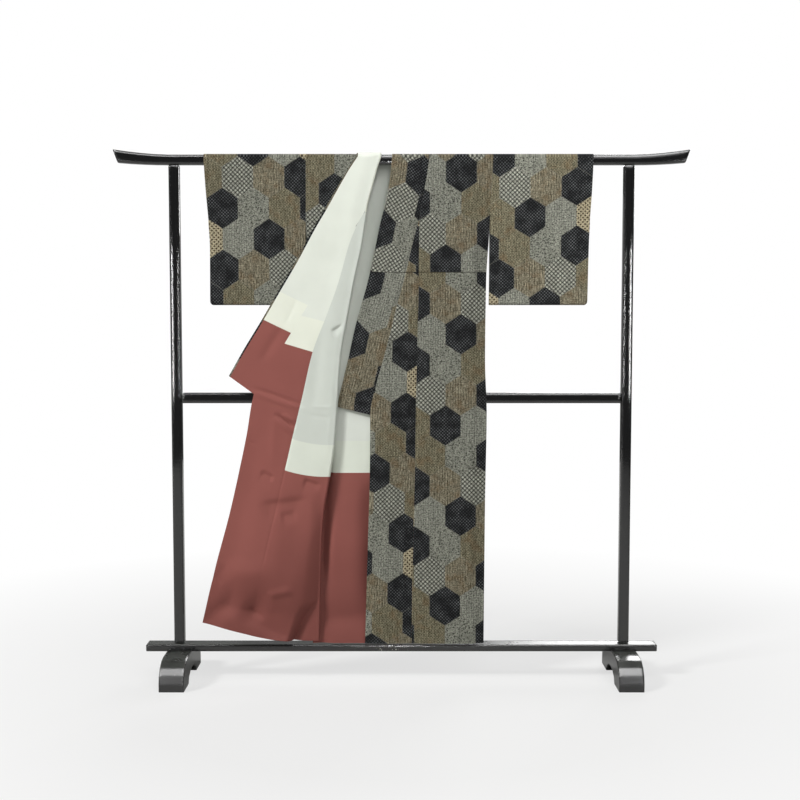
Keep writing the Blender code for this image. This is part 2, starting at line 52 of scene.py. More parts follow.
RACK_NODES = ("top_bar", "mid_rail", "post_left", "post_right", "base_rail", "foot_left",
              "foot_right")
LACQUER = "#0a0a0b"
DUST = "#6d716a"
CHIP = "#c9c6ba"
BRUSH_MARK = 0.012        # length of a brush mark in the last coat
GLOSS = 0.07              # roughness of the clean coat
DUSTY = 0.35              # roughness under the dust
DUST_CLOUDS = 22.0        # to a metre
DUST_LIES = (0.6, 0.95)   # how much a face looks up where dust starts to lie, and lies in full
SCUFF = 0.30              # roughness of the scuffed feet
SCUFFED = (0.082, 0.135)  # they are scuffed up to the first height, and whole from the second
WORN_ROUND = 0.012        # the coats have softened every edge by this much
CHIP_SIZE = 0.006
CHIP_HITS = (0.655, 0.70)     # of the noise that places the chips: bare from the second
CHIP_SPREAD = (1.3, 0.6)      # a spot ends, and is full, at these shares of its half sizes
CHIPPED = ((-0.035, -0.028, 0.103, 0.05, 0.013), (-0.725, -0.12, 0.045, 0.035, 0.022),
           (0.735, -0.12, 0.040, 0.035, 0.022))    # centre, half width, half height


def linear(colour):
    """The linear colour of an sRGB hex value."""
    parts = [int(colour[i:i + 2], 16) / 255 for i in (1, 3, 5)]
    return (*[c / 12.92 if c <= 0.04045 else ((c + 0.055) / 1.055) ** 2.4 for c in parts], 1.0)


def add_node(tree, kind, feeds=None, **settings):
    """Adds a node; feeds gives its sockets a value, or another node's output."""
    node = tree.nodes.new("ShaderNode" + kind)
    for name, value in settings.items():
        setattr(node, name, value)
    for socket, value in (feeds or {}).items():
        if isinstance(value, bpy.types.Node):
            value = value.outputs[0]
        if isinstance(value, bpy.types.NodeSocket):
            tree.links.new(value, node.inputs[socket])
        else:
            node.inputs[socket].default_value = value
    return node


def new_material(name):
    material = bpy.data.materials.new(name)
    material.use_nodes = True
    material.node_tree.nodes.clear()
    return material, material.node_tree


def black_lacquer():
    """Brushed urushi-type lacquer: deep black, glossy, with faint brush marks and dust."""
    material, tree = new_material("black lacquered wood")
    place = add_node(tree, "TexCoord").outputs["Object"]
    facing = add_node(tree, "SeparateXYZ", {0: add_node(tree, "NewGeometry").outputs["Normal"]})
    cloud = add_node(tree, "TexNoise", {"Vector": place, "Scale": DUST_CLOUDS, "Detail": 4.0})
    up = add_node(tree, "MapRange", {0: facing.outputs["Z"], 1: DUST_LIES[0], 2: DUST_LIES[1]})
    film = add_node(tree, "Math", {0: up, 1: cloud}, operation="MULTIPLY")
    brush = add_node(tree, "TexNoise", {"Vector": place, "Scale": 1 / BRUSH_MARK, "Detail": 2.0})
    chips = 0.0
    for x, y, z, half_width, half_height in CHIPPED:
        near = add_node(tree, "VectorMath", {0: place, 1: (x, y, z)}, operation="SUBTRACT")
        near = add_node(tree, "VectorMath",
                        {0: near, 1: (1 / half_width, 1 / half_width, 1 / half_height)},
                        operation="MULTIPLY")
        away = add_node(tree, "VectorMath", {0: near}, operation="LENGTH")
        spot = add_node(tree, "MapRange",
                        {0: away.outputs["Value"], 1: CHIP_SPREAD[0], 2: CHIP_SPREAD[1]})
        chips = add_node(tree, "Math", {0: chips, 1: spot}, operation="MAXIMUM")
    grit = add_node(tree, "TexNoise", {"Vector": place, "Scale": 1 / CHIP_SIZE, "Detail": 1.0})
    hit = add_node(tree, "MapRange", {0: grit, 1: CHIP_HITS[0], 2: CHIP_HITS[1]})
    chips = add_node(tree, "Math", {0: chips, 1: hit}, operation="MULTIPLY")
    dusty = add_node(tree, "Math", {0: film, 1: 0.5}, operation="MULTIPLY")
    black = add_node(tree, "Mix", {0: dusty, 6: linear(LACQUER), 7: linear(DUST)},
                     data_type="RGBA")
    colour = add_node(tree, "Mix",
                      {0: chips, 6: black.outputs[2], 7: linear(CHIP)}, data_type="RGBA")
    rough = add_node(tree, "MapRange", {0: film, 1: 0.0, 2: 0.6, 3: GLOSS, 4: DUSTY})
    height = add_node(tree, "SeparateXYZ", {0: place}).outputs["Z"]
    scuff = add_node(tree, "MapRange", {0: height, 1: SCUFFED[0], 2: SCUFFED[1], 3: SCUFF, 4: 0.0})
    rough = add_node(tree, "Math", {0: rough, 1: scuff}, operation="MAXIMUM")
    soft = add_node(tree, "Bevel", {"Radius": WORN_ROUND}, samples=8)
    bump = add_node(tree, "Bump",
                    {"Height": brush, "Strength": 0.05, "Distance": 0.0006, "Normal": soft})
    shader = add_node(tree, "BsdfPrincipled", {
        "Base Color": colour.outputs[2], "Roughness": rough, "Normal": bump, "IOR": 1.55,
        "Specular IOR Level": 0.9})
    add_node(tree, "OutputMaterial", {0: shader})
    return material


lacquer = black_lacquer()
for node in RACK_NODES:
    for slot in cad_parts[node].material_slots:
        slot.material = lacquer


# ---------------------------------------------------------------- the silk
# Heavy silk crepe, reeled and dyed before weaving: a patchwork of long hexagons, each with a
# weave of its own - charcoal with light flecks, streaked tan, olive check, two greys, and
# basket lattices in grey and in gold. The same repeat runs along the whole bolt.

HEX_WIDTH = 0.0995
HEX_ROW = 0.098           # from one row of hexagons to the next
WEFT = 0.0024             # a step of the pattern's edge; a real thread is finer than shows
JOG = 0.0016              # how far the dyed threads miss each other along an edge
FLECK = 0.0104            # spacing of the light flecks in the charcoal
STREAK = (0.0042, 0.022)  # width and length of a streak in the tan
RIB = (0.0084, 0.0068)    # spacing of the tan's long ribs and of its cross ribs
CHECK = 0.0092            # spacing of the olive check
GRAIN = 0.0078            # spacing of the plain grey's threads
SPECK = 0.0066            # spacing of the dark specks in the second grey
SLUB = (0.0050, 0.0042)   # width and height of an uneven spot in the yarn
BASKET = 0.0142           # spacing of the basket lattice
LATTICE_GAP = 0.10        # between its yarns, as a share of that spacing
DOT = 0.19                # where a dot of the gold basket starts, as such a share
HEX_EDGE = (0.478, 60.0)  # a hexagon's pale edge: its start, in widths, and how fast it rises
EDGE_SHOWS = 0.18
FILLS = "DTOGSBY"         # charcoal, tan, olive check, grey, second grey, basket, gold basket
GROUNDS = ("#18191a", "#3f3a2d", "#3c382b", "#3a3b36", "#2f302b", "#1b1c1a", "#3a2a1a")
THREADS = ("#666869", "#968f7a", "#928c74", "#95968a", "#838479", "#a9aa9d", "#a59c82")
TOBACCO = "#6b5840"       # the tan's warmer patches
EDGE = "#8e8d82"
DYED = 0.88               # how light the cloth is
BODY_REPEAT = ("DSOD", "OBTD", "ODGY", "DOSD", "DTBO", "YGDT")
COLLAR_REPEAT = ("TDG", "TBD", "DST", "TBG", "DGT", "OGT", "DTG", "STD", "TDT", "GBT")


def weave_steps(rows, columns):
    """The sums from a place on the bolt, (u, v), to its hexagon and to each weave there."""
    tall = math.sqrt(3.0)
    steps = [("miss", "SUBTRACT", "miss", 0.5), ("miss", "MULTIPLY", "miss", JOG),
             ("x", "ADD", "u", "miss"), ("x", "DIVIDE", "x", HEX_WIDTH),
             ("y", "DIVIDE", "v", 2 * HEX_ROW / tall), ("pair", "DIVIDE", "y", tall)]
    # the place from the nearest centre of the even rows, and of the odd rows, in widths
    for row, snap, shift in (("even", "ROUND", 0.0), ("odd", "FLOOR", 0.5)):
        side, up, far = row + " x", row + " y", row + " far"
        steps += [(side, snap, "x"), (side, "ADD", side, shift), (side, "SUBTRACT", "x", side),
                  (up, snap, "pair"), (up, "ADD", up, shift), (up, "MULTIPLY", up, tall),
                  (up, "SUBTRACT", "y", up),
                  (far, "MULTIPLY", side, side), (far, "MULTIPLY_ADD", up, up, far)]
    steps.append(("is even", "LESS_THAN", "even far", "odd far"))
    for way in "xy":
        inside, odd = "in " + way, "odd " + way
        steps += [(inside, "SUBTRACT", "even " + way, odd),
                  (inside, "MULTIPLY_ADD", inside, "is even", odd)]
    steps += [
        # its row and column in the repeat
        ("row", "SUBTRACT", "y", "in y"), ("row", "DIVIDE", "row", tall / 2),
        ("row", "ROUND", "row"), ("row", "FLOORED_MODULO", "row", rows),
        ("column", "SUBTRACT", "x", "in x"), ("column", "ADD", "column", 0.51),
        ("column", "FLOOR", "column"), ("column", "FLOORED_MODULO", "column", columns),
        ("cell", "MULTIPLY_ADD", "row", columns, "column"), ("cell", "ADD", "cell", 0.5),
        ("cell", "DIVIDE", "cell", rows * columns),
        # how near its edge is
        ("side", "ABSOLUTE", "in x"), ("slant", "ABSOLUTE", "in y"),
        ("slant", "MULTIPLY", "slant", tall / 2),
        ("slant", "MULTIPLY_ADD", "side", 0.5, "slant"),
        ("rim", "MAXIMUM", "side", "slant"), ("rim", "SUBTRACT", "rim", HEX_EDGE[0]),
        ("rim", "MULTIPLY", "rim", HEX_EDGE[1]),
        ("rise", "ADD", "u", "v"), ("fall", "SUBTRACT", "u", "v")]
    # the weaves, each from 0 to 1
    for wave, way, spacing in (
            ("fleck u", "u", FLECK), ("fleck v", "v", FLECK), ("check a", "rise", 2 * CHECK),
            ("check b", "fall", 2 * CHECK), ("grain u", "u", GRAIN), ("grain v", "v", GRAIN),
            ("rib", "u", RIB[0]), ("cross", "v", RIB[1])):
        steps += [(wave, "MULTIPLY", way, math.tau / spacing), (wave, "SINE", wave)]
    for yarn, way in (("warp", "rise"), ("woof", "fall")):
        gap = yarn + " gap"
        steps += [(yarn, "DIVIDE", way, BASKET), (yarn, "FRACT", yarn),
                  (yarn, "SUBTRACT", yarn, 0.5), (gap, "ABSOLUTE", yarn),
                  (yarn, "SUBTRACT", gap, LATTICE_GAP), (yarn, "MULTIPLY", yarn, 4.4),
                  (yarn, "MULTIPLY_ADD", yarn, 0.72, 0.28)]
    return steps + [
        ("flecks", "MULTIPLY", "fleck u", "fleck v"),
        ("check", "MULTIPLY", "check a", "check b"), ("check", "ABSOLUTE", "check"),
        ("grain", "MULTIPLY_ADD", "grain v", 0.6, "grain u"),
        ("grain", "MULTIPLY_ADD", "grain", 0.22, 0.5),
        ("basket", "MULTIPLY", "warp", "woof"), ("dots", "MAXIMUM", "warp gap", "woof gap"),
        ("dots", "SUBTRACT", "dots", DOT), ("dots", "MULTIPLY", "dots", 8.0),
        ("ribs", "MULTIPLY_ADD", "cross", 0.25, "rib"),
        ("ribs", "MULTIPLY_ADD", "ribs", 0.34, 0.5)]


def patchwork_silk(name, repeat, tone):
    """Matt crepe with an uneven yarn; its map is in metres, across the bolt and along it."""
    material, tree = new_material(name)
    rows, columns = len(repeat), len(repeat[0])
    bolt = add_node(tree, "UVMap", uv_map="bolt")
    split = add_node(tree, "SeparateXYZ", {0: bolt})
    value = {"u": split.outputs["X"], "v": split.outputs["Y"]}
    thread = add_node(tree, "Math", {0: value["v"], 1: WEFT}, operation="DIVIDE")
    thread = add_node(tree, "Math", {0: thread}, operation="FLOOR")
    value["miss"] = add_node(tree, "TexWhiteNoise", {"W": thread}, noise_dimensions="1D")
    for result, operation, *terms in weave_steps(rows, columns):
        value[result] = add_node(
            tree, "Math",
            {i: value.get(term, term) for i, term in enumerate(terms)}, operation=operation,
            use_clamp=result in ("warp", "woof", "dots", "rim") and operation == "MULTIPLY")
    long_map, yarn_map = (
        add_node(tree, "VectorMath", {0: bolt, 1: (1 / wide, 1 / high, 1.0)},
                 operation="MULTIPLY") for wide, high in (STREAK, SLUB))
    streak = add_node(tree, "TexNoise",
                      {"Vector": long_map, "Scale": 1.0, "Detail": 3.0, "Roughness": 0.6})
    streak = add_node(tree, "MapRange", {0: streak, 1: 0.36, 2: 0.64})
    streak = add_node(tree, "Mix", {0: 0.6, 2: value["ribs"], 3: streak})
    speck = add_node(tree, "TexVoronoi", {"Vector": bolt, "Scale": 1 / SPECK, "Randomness": 0.8})
    speck = add_node(tree, "MapRange", {0: speck, 1: 0.16, 2: 0.52})
    slow = add_node(tree, "TexNoise", {"Vector": bolt, "Scale": 24.0, "Detail": 2.0})
    plain = add_node(tree, "MapRange", {0: slow, 1: 0.38, 2: 0.62, 3: 0.25, 4: 1.0})
    rough_thread = add_node(tree, "TexNoise",
                            {"Vector": yarn_map, "Scale": 1.0, "Detail": 2.0, "Roughness": 0.65})
    yarn = add_node(tree, "MapRange", {0: rough_thread, 1: 0.34, 2: 0.66, 3: 0.42, 4: 1.58})
    flecks = add_node(tree, "MapRange", {0: value["flecks"], 1: -0.15, 2: 1.0})
    flecks = add_node(tree, "Math", {0: flecks, 1: plain}, operation="MULTIPLY")
    check = add_node(tree, "Mix", {0: 0.6, 2: value["check"], 3: streak})
    grain = add_node(tree, "Mix", {0: 0.45, 2: value["grain"], 3: speck})
    # the hexagon's kind of fill, as a share of all kinds, and that fill's two colours
    chart = [FILLS.index(letter) for row in repeat for letter in row]
    kind = add_node(tree, "ValToRGB", {0: value["cell"]})
    middle = add_node(tree, "Math", {0: kind, 1: 0.5 / len(FILLS)}, operation="ADD")
    ground, thread = (add_node(tree, "ValToRGB", {0: middle}) for _ in range(2))
    for ramp_node, colours in ((kind, [(k / len(FILLS),) * 3 + (1.0,) for k in chart]),
                               (ground, [linear(c) for c in GROUNDS]),
                               (thread, [linear(c) for c in THREADS])):
        ramp = ramp_node.color_ramp
        ramp.interpolation = "CONSTANT"
        ramp.elements.remove(ramp.elements[0])
        ramp.elements[0].position = 0.0
        ramp.elements[0].color = colours[0]
        for i, colour in enumerate(colours[1:], 1):
            ramp.elements.new(i / len(colours)).color = colour
    raised = 0.0
    for index, weave in enumerate((flecks, streak, check, grain, speck, value["basket"],
                                   value["dots"])):
        here = add_node(tree, "Math", {0: kind, 1: index / len(FILLS), 2: 0.04},
                        operation="COMPARE")
        raised = add_node(tree, "Math", {0: here, 1: weave, 2: raised}, operation="MULTIPLY_ADD")
    colour = add_node(tree, "Mix", {0: raised, 6: ground, 7: thread}, data_type="RGBA")
    # the tan and the olive have warmer patches, and every hexagon a faint pale edge
    warm = add_node(tree, "MapRange", {0: slow, 1: 0.50, 2: 0.66, 4: 0.5})
    tan = add_node(tree, "Math", {0: kind, 1: 1.5 / len(FILLS), 2: 0.11}, operation="COMPARE")
    warm = add_node(tree, "Math", {0: warm, 1: tan}, operation="MULTIPLY")
    edge = add_node(tree, "Math", {0: value["rim"], 1: EDGE_SHOWS}, operation="MULTIPLY")
    for share, tint in ((warm, TOBACCO), (edge, EDGE)):
        colour = add_node(tree, "Mix",
                          {0: share, 6: colour.outputs[2], 7: linear(tint)}, data_type="RGBA")
    slub = add_node(tree, "TexNoise", {"Vector": long_map, "Scale": 0.35, "Detail": 2.0})
    slub = add_node(tree, "MapRange", {0: slub, 1: 0.3, 2: 0.7, 3: 0.86 * tone, 4: 1.14 * tone})
    colour = add_node(tree, "VectorMath", {0: colour.outputs[2], 1: slub}, operation="MULTIPLY")
    colour = add_node(tree, "VectorMath", {0: colour, 1: yarn}, operation="MULTIPLY")
    height = add_node(tree, "Math", {0: rough_thread, 1: raised}, operation="ADD")
    bump = add_node(tree, "Bump", {"Height": height, "Strength": 0.35, "Distance": 0.0004})
    shader = add_node(tree, "BsdfPrincipled", {
        "Base Color": colour, "Roughness": 0.72, "Normal": bump, "Specular IOR Level": 0.04})
    add_node(tree, "OutputMaterial", {0: shader})
    return material


body_silk = patchwork_silk("patchwork silk", BODY_REPEAT, DYED)
collar_silk = patchwork_silk("patchwork silk, collar cut", COLLAR_REPEAT, DYED)


# ---------------------------------------------------------------- the linings
# Plain silk, woven smooth: white above, where only the wearer knows it, and a dusty red
# below, where it shows at each step. The white is double for a hand's width above the red,
# and looks creamier there.

WHITE = "#cdd2c9"
CREAM = "#dbe0d3"
DOUBLED = "#dfe3d8"       # collar and overlap, where the white lies on a white backing
DOUBLED_CREAM = "#e6e9da"
LIFTED_BACK_WHITE = "#d8dcd3"         # the white inside the back, painted lighter to stand in for light that its shaded hollow behind the bar lacks
RED = "#8f564f"
DOUBLE = 0.104            # height of the doubled white above the join
LINING_CHANGE = 0.680     # height of the join inside the hanging panels
JOIN_SOFT = 0.0015        # the step from double to single is this soft
LINING_THREAD = 0.0011    # a real thread is finer than shows
PAINTED_HEM_SHADE = (0.60, 0.12, 0.74)    # painted shade: the lining's colour darkens from this height to the hem's, down to this share, standing in for the shade low in the hollows


def lining_silk(name, low, high, own_map):
    """Plain silk, smooth and nearly matt: low is its colour above the join, high further up."""
    material, tree = new_material(name)
    place = add_node(tree, "TexCoord").outputs["Object"]
    height = add_node(tree, "SeparateXYZ", {0: place}).outputs["Z"]
    if own_map:
        bolt = add_node(tree, "UVMap", uv_map="bolt")
        above = add_node(tree, "SeparateXYZ", {0: bolt}).outputs["Y"]
    else:
        above = add_node(tree, "Math", {0: height, 1: LINING_CHANGE}, operation="SUBTRACT")
    wander = add_node(tree, "TexNoise", {"Vector": place, "Scale": 9.0, "Detail": 3.0})
    single = add_node(tree, "MapRange", {0: above, 1: DOUBLE - JOIN_SOFT, 2: DOUBLE + JOIN_SOFT})
    colour = add_node(tree, "Mix", {0: single, 6: linear(low), 7: linear(high)}, data_type="RGBA")
    tone = add_node(tree, "MapRange", {0: wander, 1: 0.3, 2: 0.7, 3: 0.97, 4: 1.03})
    # painted shade: the colour grows darker towards the hem
    hem_shade = add_node(tree, "MapRange",
                    {0: height, 1: PAINTED_HEM_SHADE[0], 2: PAINTED_HEM_SHADE[1], 3: 1.0, 4: PAINTED_HEM_SHADE[2]})
    tone = add_node(tree, "Math", {0: tone, 1: hem_shade}, operation="MULTIPLY")
    colour = add_node(tree, "VectorMath", {0: colour.outputs[2], 1: tone}, operation="MULTIPLY")
    threads = add_node(tree, "VectorMath",
                       {0: place, 1: (0.25 / LINING_THREAD, 1.0, 1 / LINING_THREAD)},
                       operation="MULTIPLY")
    weave = add_node(tree, "TexNoise", {"Vector": threads, "Scale": 1.0})
    bump = add_node(tree, "Bump", {"Height": weave, "Strength": 0.15, "Distance": 0.0003})
    shader = add_node(tree, "BsdfPrincipled", {
        "Base Color": colour, "Roughness": 0.55, "Normal": bump, "Specular IOR Level": 0.05})
    add_node(tree, "OutputMaterial", {0: shader})
    return material


white_silk = lining_silk("white silk lining", CREAM, WHITE, True)
doubled_silk = lining_silk("white silk lining, doubled", DOUBLED_CREAM, DOUBLED, True)
# painted light: the back's white is set lighter than the body's, for the shade it stands in
back_silk = lining_silk("white silk lining, back", CREAM, LIFTED_BACK_WHITE, True)
red_silk = lining_silk("red silk lining", RED, RED, True)
white_inside = lining_silk("white silk lining, inside", CREAM, WHITE, False)
red_inside = lining_silk("red silk lining, inside", RED, RED, False)
LINED = (body_silk, white_inside, body_silk, red_inside)


# ---------------------------------------------------------------- body widths
# Each half of the body is one width of silk, unseamed at the shoulder: up the back, over the
# bar and down the front. The left front is turned outwards along a slanting soft fold, so
# that its inside faces the room; the right front hangs straight, with a tuck at the waist.

CM = 0.01
BAR_TOP = 1.701
BAR_HALF = 0.016
BAR_ROUND = 0.007
BAR_SHOULDER = BAR_TOP - BAR_ROUND     # the bar's faces are upright below this height
FIRST_LAYER = 0.0015      # middle of the first layer of cloth, off the bar
SILK = 0.0015
LINING = 0.0010
LINING_OFF = 0.0015       # from the middle of the silk to the middle of its lining
CENTRE = -0.010
NECK = {"left": -0.109, "right": 0.088}
NECK_DIP = 0.008
HEM = 0.122
SLEEVE_JOIN = 1.486
SIDE_SEAM_TOP = 1.350
SIDE_ROUND = 0.050
SEAM_GAP = 0.0002
TUCK = 1.3277
TUCK_LEVELS = tuple(TUCK + off for off in (0.003, 0.0006, -0.0006, -0.003))
TUCK_TAKES = 0.0714       # cloth hidden in the waist tuck of the body
# height, depth of the front sheet and of the back sheet
DRAPE = (
    (1.694, -0.0175, 0.0175),
    (1.665, -0.0178, 0.0175),
    (0.945, -0.0285, -0.0183),
    (0.120, -0.0375, -0.0205),
)
# height, left and right side edges
SIDES = (
    (1.694, -0.305, 0.293),
    (1.486, -0.306, 0.282),
    (1.425, -0.3045, 0.279),
    (1.300, -0.296, 0.272),
    (1.050, -0.292, 0.269),
    (0.870, -0.294, 0.275),
    (0.590, -0.292, 0.271),
    (0.122, -0.290, 0.268),
)
# in cm: height, collar's outer edge, collar seam (lower down, overlap's edge), overlap seam
RIGHT_FRONT = (
    (169.4, -3.0, 8.8, 8.8),
    (163.5, -3.6, 8.1, 8.1),
    (154.5, -5.2, 6.4, 6.4),
    (149.0, -6.6, 5.4, 5.7),
    (140.5, -8.4, 3.2, 5.6),
    (130.5, -10.6, 0.9, 5.5),
    (122.5, -12.8, -1.4, 5.4),
    (115.0, -14.9, -3.2, 5.2),
    (105.0, -17.1, -5.8, 5.0),
    (98.0, -18.8, -7.8, 4.8),
    (86.9, -20.5, -10.1, 4.6),
    (72.0, -20.5, -10.2, 4.4),
    (59.0, -20.5, -10.5, 4.1),
    (46.0, -20.5, -10.9, 3.8),
    (33.0, -20.5, -11.3, 3.5),
    (22.0, -20.5, -11.6, 3.4),
    (12.2, -20.5, -11.9, 3.3),
)
SEAM_START = (-0.117, 1.520)   # the turned-out collar's seam is straight
SEAM_LEAN = 0.6124        # how far it runs across for each step down
# in cm: overlap's edge up and across, overlap seam across and up, fold across and up
LEFT_FRONT = (
    (150.5, -12.6, -12.6, 150.5, -11.4, 151.0),
    (147.1, -14.7, -14.4, 147.3, -11.9, 147.5),
    (141.8, -17.9, -16.7, 141.6, -12.7, 142.0),
    (131.0, -24.6, -20.0, 130.0, -15.2, 130.5),
    (120.5, -31.0, -23.9, 119.0, -17.4, 118.5),
    (109.9, -37.5, -28.5, 107.2, -19.6, 106.0),
    (93.7, -47.4, -32.0, 92.5, -20.7, 91.0),
    (80.5, -49.8, -35.2, 79.5, -21.7, 77.5),
    (70.0, -52.0, -37.6, 69.2, -23.2, 67.0),
    (55.0, -55.4, -41.1, 54.0, -25.6, 52.0),
    (40.0, -59.4, -44.7, 38.5, -26.3, 36.5),
    (27.3, -62.6, -47.6, 25.0, -26.7, 23.0),
    (19.6, -64.5, -49.6, 15.9, -27.0, 13.1),
)
BODY_JOIN_ROW = 8         # the body's lining turns red at this row
# the turned-out layer: height, radius of its fold, depth of the layer
TURNED = (
    (1.694, 0.0016, -0.0207),
    (1.530, 0.0030, -0.0265),
    (0.945, 0.0050, -0.0395),
    (0.600, 0.0055, -0.0455),
    (0.300, 0.0035, -0.0535),
    (0.120, 0.0015, -0.0530),
)
# towards the hem the fold is pressed back, and the layer beside it billows: height, both, and
# how far from the fold the layer starts to rise and has risen
BILLOW = (
    (1.694, 0.0000, 0.0000, 0.000, 0.060),
    (0.900, 0.0000, 0.0000, 0.000, 0.060),
    (0.640, 0.0000, 0.0060, 0.000, 0.050),
    (0.520, 0.0040, 0.0140, 0.000, 0.034),
    (0.420, 0.0070, 0.0230, 0.000, 0.044),
    (0.350, 0.0090, 0.0270, 0.000, 0.050),
    (0.270, 0.0105, 0.0210, 0.004, 0.060),
    (0.220, 0.0120, 0.0150, 0.040, 0.080),
    (0.158, 0.0135, 0.0140, 0.070, 0.098),
    (0.120, 0.0135, 0.0180, 0.088, 0.106),
)
BILLOW_REACH = (0.15, 0.35)    # from the fold to its height, and on to where it has died away
# the fold's line: across and up, in cm
FOLD_LINE = ((-6.6, 169.4), (-8.1, 165.0), (-9.6, 159.3), (-11.3, 152.2),
             *[(row[4], row[5]) for row in LEFT_FRONT])
FOLD_ROLL = 0.0042        # the layer rises beside its fold by this much
SEAM_DIP = 0.0013         # a seam pulls the cloth in by this much
SEAM_WIDTH = 0.0035
RUN_ON = 0.6              # share of a column that a lining runs on under its neighbour
RUN_ON_SINK = 0.0004
HEM_SAG = 0.009           # the turned-out hem sags by this much between the fold and its seam
SIDE_STEPS = 24           # columns from a side edge to the neck
FOLD_STEP = 15            # degrees from one column to the next round a fold
FINE = 0.0045             # between the rows of a turned-out sheet
EVEN = 0.008              # between the rows of a hanging front
COARSE = 0.012            # between the rows behind the fold's top
COARSE_BACK = 0.014       # between the rows of the back
SLACK = 0.0015            # of the hanging sheets at the hem
TURNED_SLACK = 0.0012
# a height, and over how much it comes in
SLACKENS = (1.3, 1.1)     # the hanging sheets' slack, downwards
TURNED_SLACKENS = (1.15, 0.8)
STEEP = (0.50, 0.14)      # downwards, the turned-out layer leaves its fold more steeply
ROLLS = (0.75, 0.3)       # the roll beside the fold, upwards
SEAM_SINKS = (1.08, 0.2)  # the turned-out overlap's seam, downwards
SEAM_ENDS = (0.34, 0.1)   # and upwards
TUCK_OVER = (0.0014, 0.030)    # how far the cloth above the waist tuck stands out, over a height
TUCK_UNDER = (0.0006, 0.016)   # and how far the cloth below it draws in
FOLD_PULL = 0.12          # the hanging sheet is drawn back over this width beside the fold
ROLL_WIDTH = (0.022, 0.08)     # the roll beside the fold is full, and has gone
CREASE_FULL = 1.5 * 0.001      # metres for each mm of height in the lists of creases
# creases: from across and up, to across and up and half width, all in cm, and height in mm;
# a ridge is above zero. A seventh value is the half width below a line that runs right.
TURNED_CREASES = (
    (-22.5, 113.7, -18.3, 115.8, 0.6, -3.0, 1.8),
    (-19.4, 116.0, -21.5, 96.0, 1.1, 1.3),
    (-21.8, 98.0, -23.2, 74.0, 1.0, 1.0),
    (-25.5, 112.0, -28.0, 92.0, 2.6, -1.8),
    (-28.8, 89.6, -22.4, 89.4, 0.5, 0.9),
    (-30.0, 87.0, -23.0, 86.0, 0.6, -0.8),
    (-38.0, 122.6, -33.0, 119.8, 0.4, -0.9),
    (-30.0, 138.0, -24.5, 152.0, 2.4, 0.9),
    (-33.4, 124.0, -36.8, 117.0, 0.8, -0.9),
    (-45.2, 104.0, -38.5, 114.5, 1.5, -1.8),
    (-48.0, 95.8, -32.2, 90.4, 0.6, -1.8),
    (-48.0, 94.2, -32.2, 88.9, 0.8, 1.4),
    (-40.5, 87.4, -34.7, 83.2, 0.5, -4.0),
    (-38.0, 87.2, -34.4, 85.2, 0.6, 2.2),
    (-40.8, 86.0, -35.8, 81.4, 0.7, 2.0),
    (-40.6, 88.0, -41.5, 72.0, 1.4, 0.9),
    (-49.0, 78.4, -46.6, 77.6, 0.4, -0.9),
    (-44.9, 68.8, -41.3, 66.8, 0.6, -2.6, 2.2),
    (-31.4, 65.9, -26.6, 64.2, 0.7, -3.2, 2.2),
    (-45.0, 57.6, -31.7, 59.0, 1.6, -4.0, 4.0),
    (-38.8, 54.0, -34.2, 55.0, 1.4, -2.8, 2.4),
    (-57.0, 36.4, -44.0, 37.0, 3.2, 3.4),
    (-58.5, 26.5, -45.0, 22.5, 6.5, -7.5, 2.6),
    (-52.0, 22.5, -35.0, 14.0, 8.5, -10.0, 2.4),
    (-49.0, 24.6, -45.0, 21.2, 0.6, -2.0, 1.2),
    (-43.0, 29.0, -35.5, 30.5, 1.4, 2.4),
    (-61.0, 33.0, -56.0, 38.5, 1.4, -1.8, 3.0),
    (-65.0, 17.5, -58.5, 25.5, 2.4, -3.0, 2.6),
    (-58.0, 22.0, -47.0, 18.5, 3.0, 2.0),
)
HANGING_CREASES = (
    (24.0, 160.0, 22.0, 118.0, 2.5, 0.9),
    (15.0, 126.0, 16.5, 84.0, 2.8, -0.8),
    (8.5, 120.0, 7.5, 62.0, 2.2, 0.7),
    (23.5, 96.0, 21.5, 30.0, 2.4, 0.9),
    (12.0, 74.0, 11.0, 18.0, 2.0, -1.0),
    (-4.0, 84.0, -5.0, 26.0, 2.2, 0.9),
    (18.0, 109.5, 9.0, 108.6, 0.8, -0.4),
    (-9.0, 52.0, 2.5, 51.4, 0.7, -0.4),
    (6.0, 45.2, 24.0, 44.6, 0.8, 0.4),
)
BACK_CREASES = (
    (-22.0, 158.0, -24.0, 96.0, 2.8, 1.1),
    (-12.0, 118.0, -11.0, 38.0, 2.6, -1.0),
    (6.0, 140.0, 5.0, 70.0, 2.4, 0.9),
    (17.0, 128.0, 18.5, 52.0, 2.8, -1.1),
    (22.0, 70.0, 20.5, 20.0, 2.0, 1.0),
    (-26.0, 64.0, -24.5, 22.0, 2.0, -0.9),
    (-24.0, 104.5, 20.0, 103.6, 0.9, 0.4),
    (-25.5, 43.0, -9.0, 43.0, 7.0, 2.6),
    (-26.5, 19.6, -9.0, 20.4, 4.5, -4.6, 2.2),
    (-25.0, 12.0, -9.0, 12.0, 4.5, 6.5),
    (-10.0, 66.0, -10.4, 24.0, 3.2, -9.0),
    (-26.7, 31.0, -23.8, 76.0, 4.0, -15.0, 2.0),
)


def ease(share):
    share = np.clip(share, 0.0, 1.0)
    return share * share * (3.0 - 2.0 * share)


def blend(a, b, share):
    return a + (b - a) * share


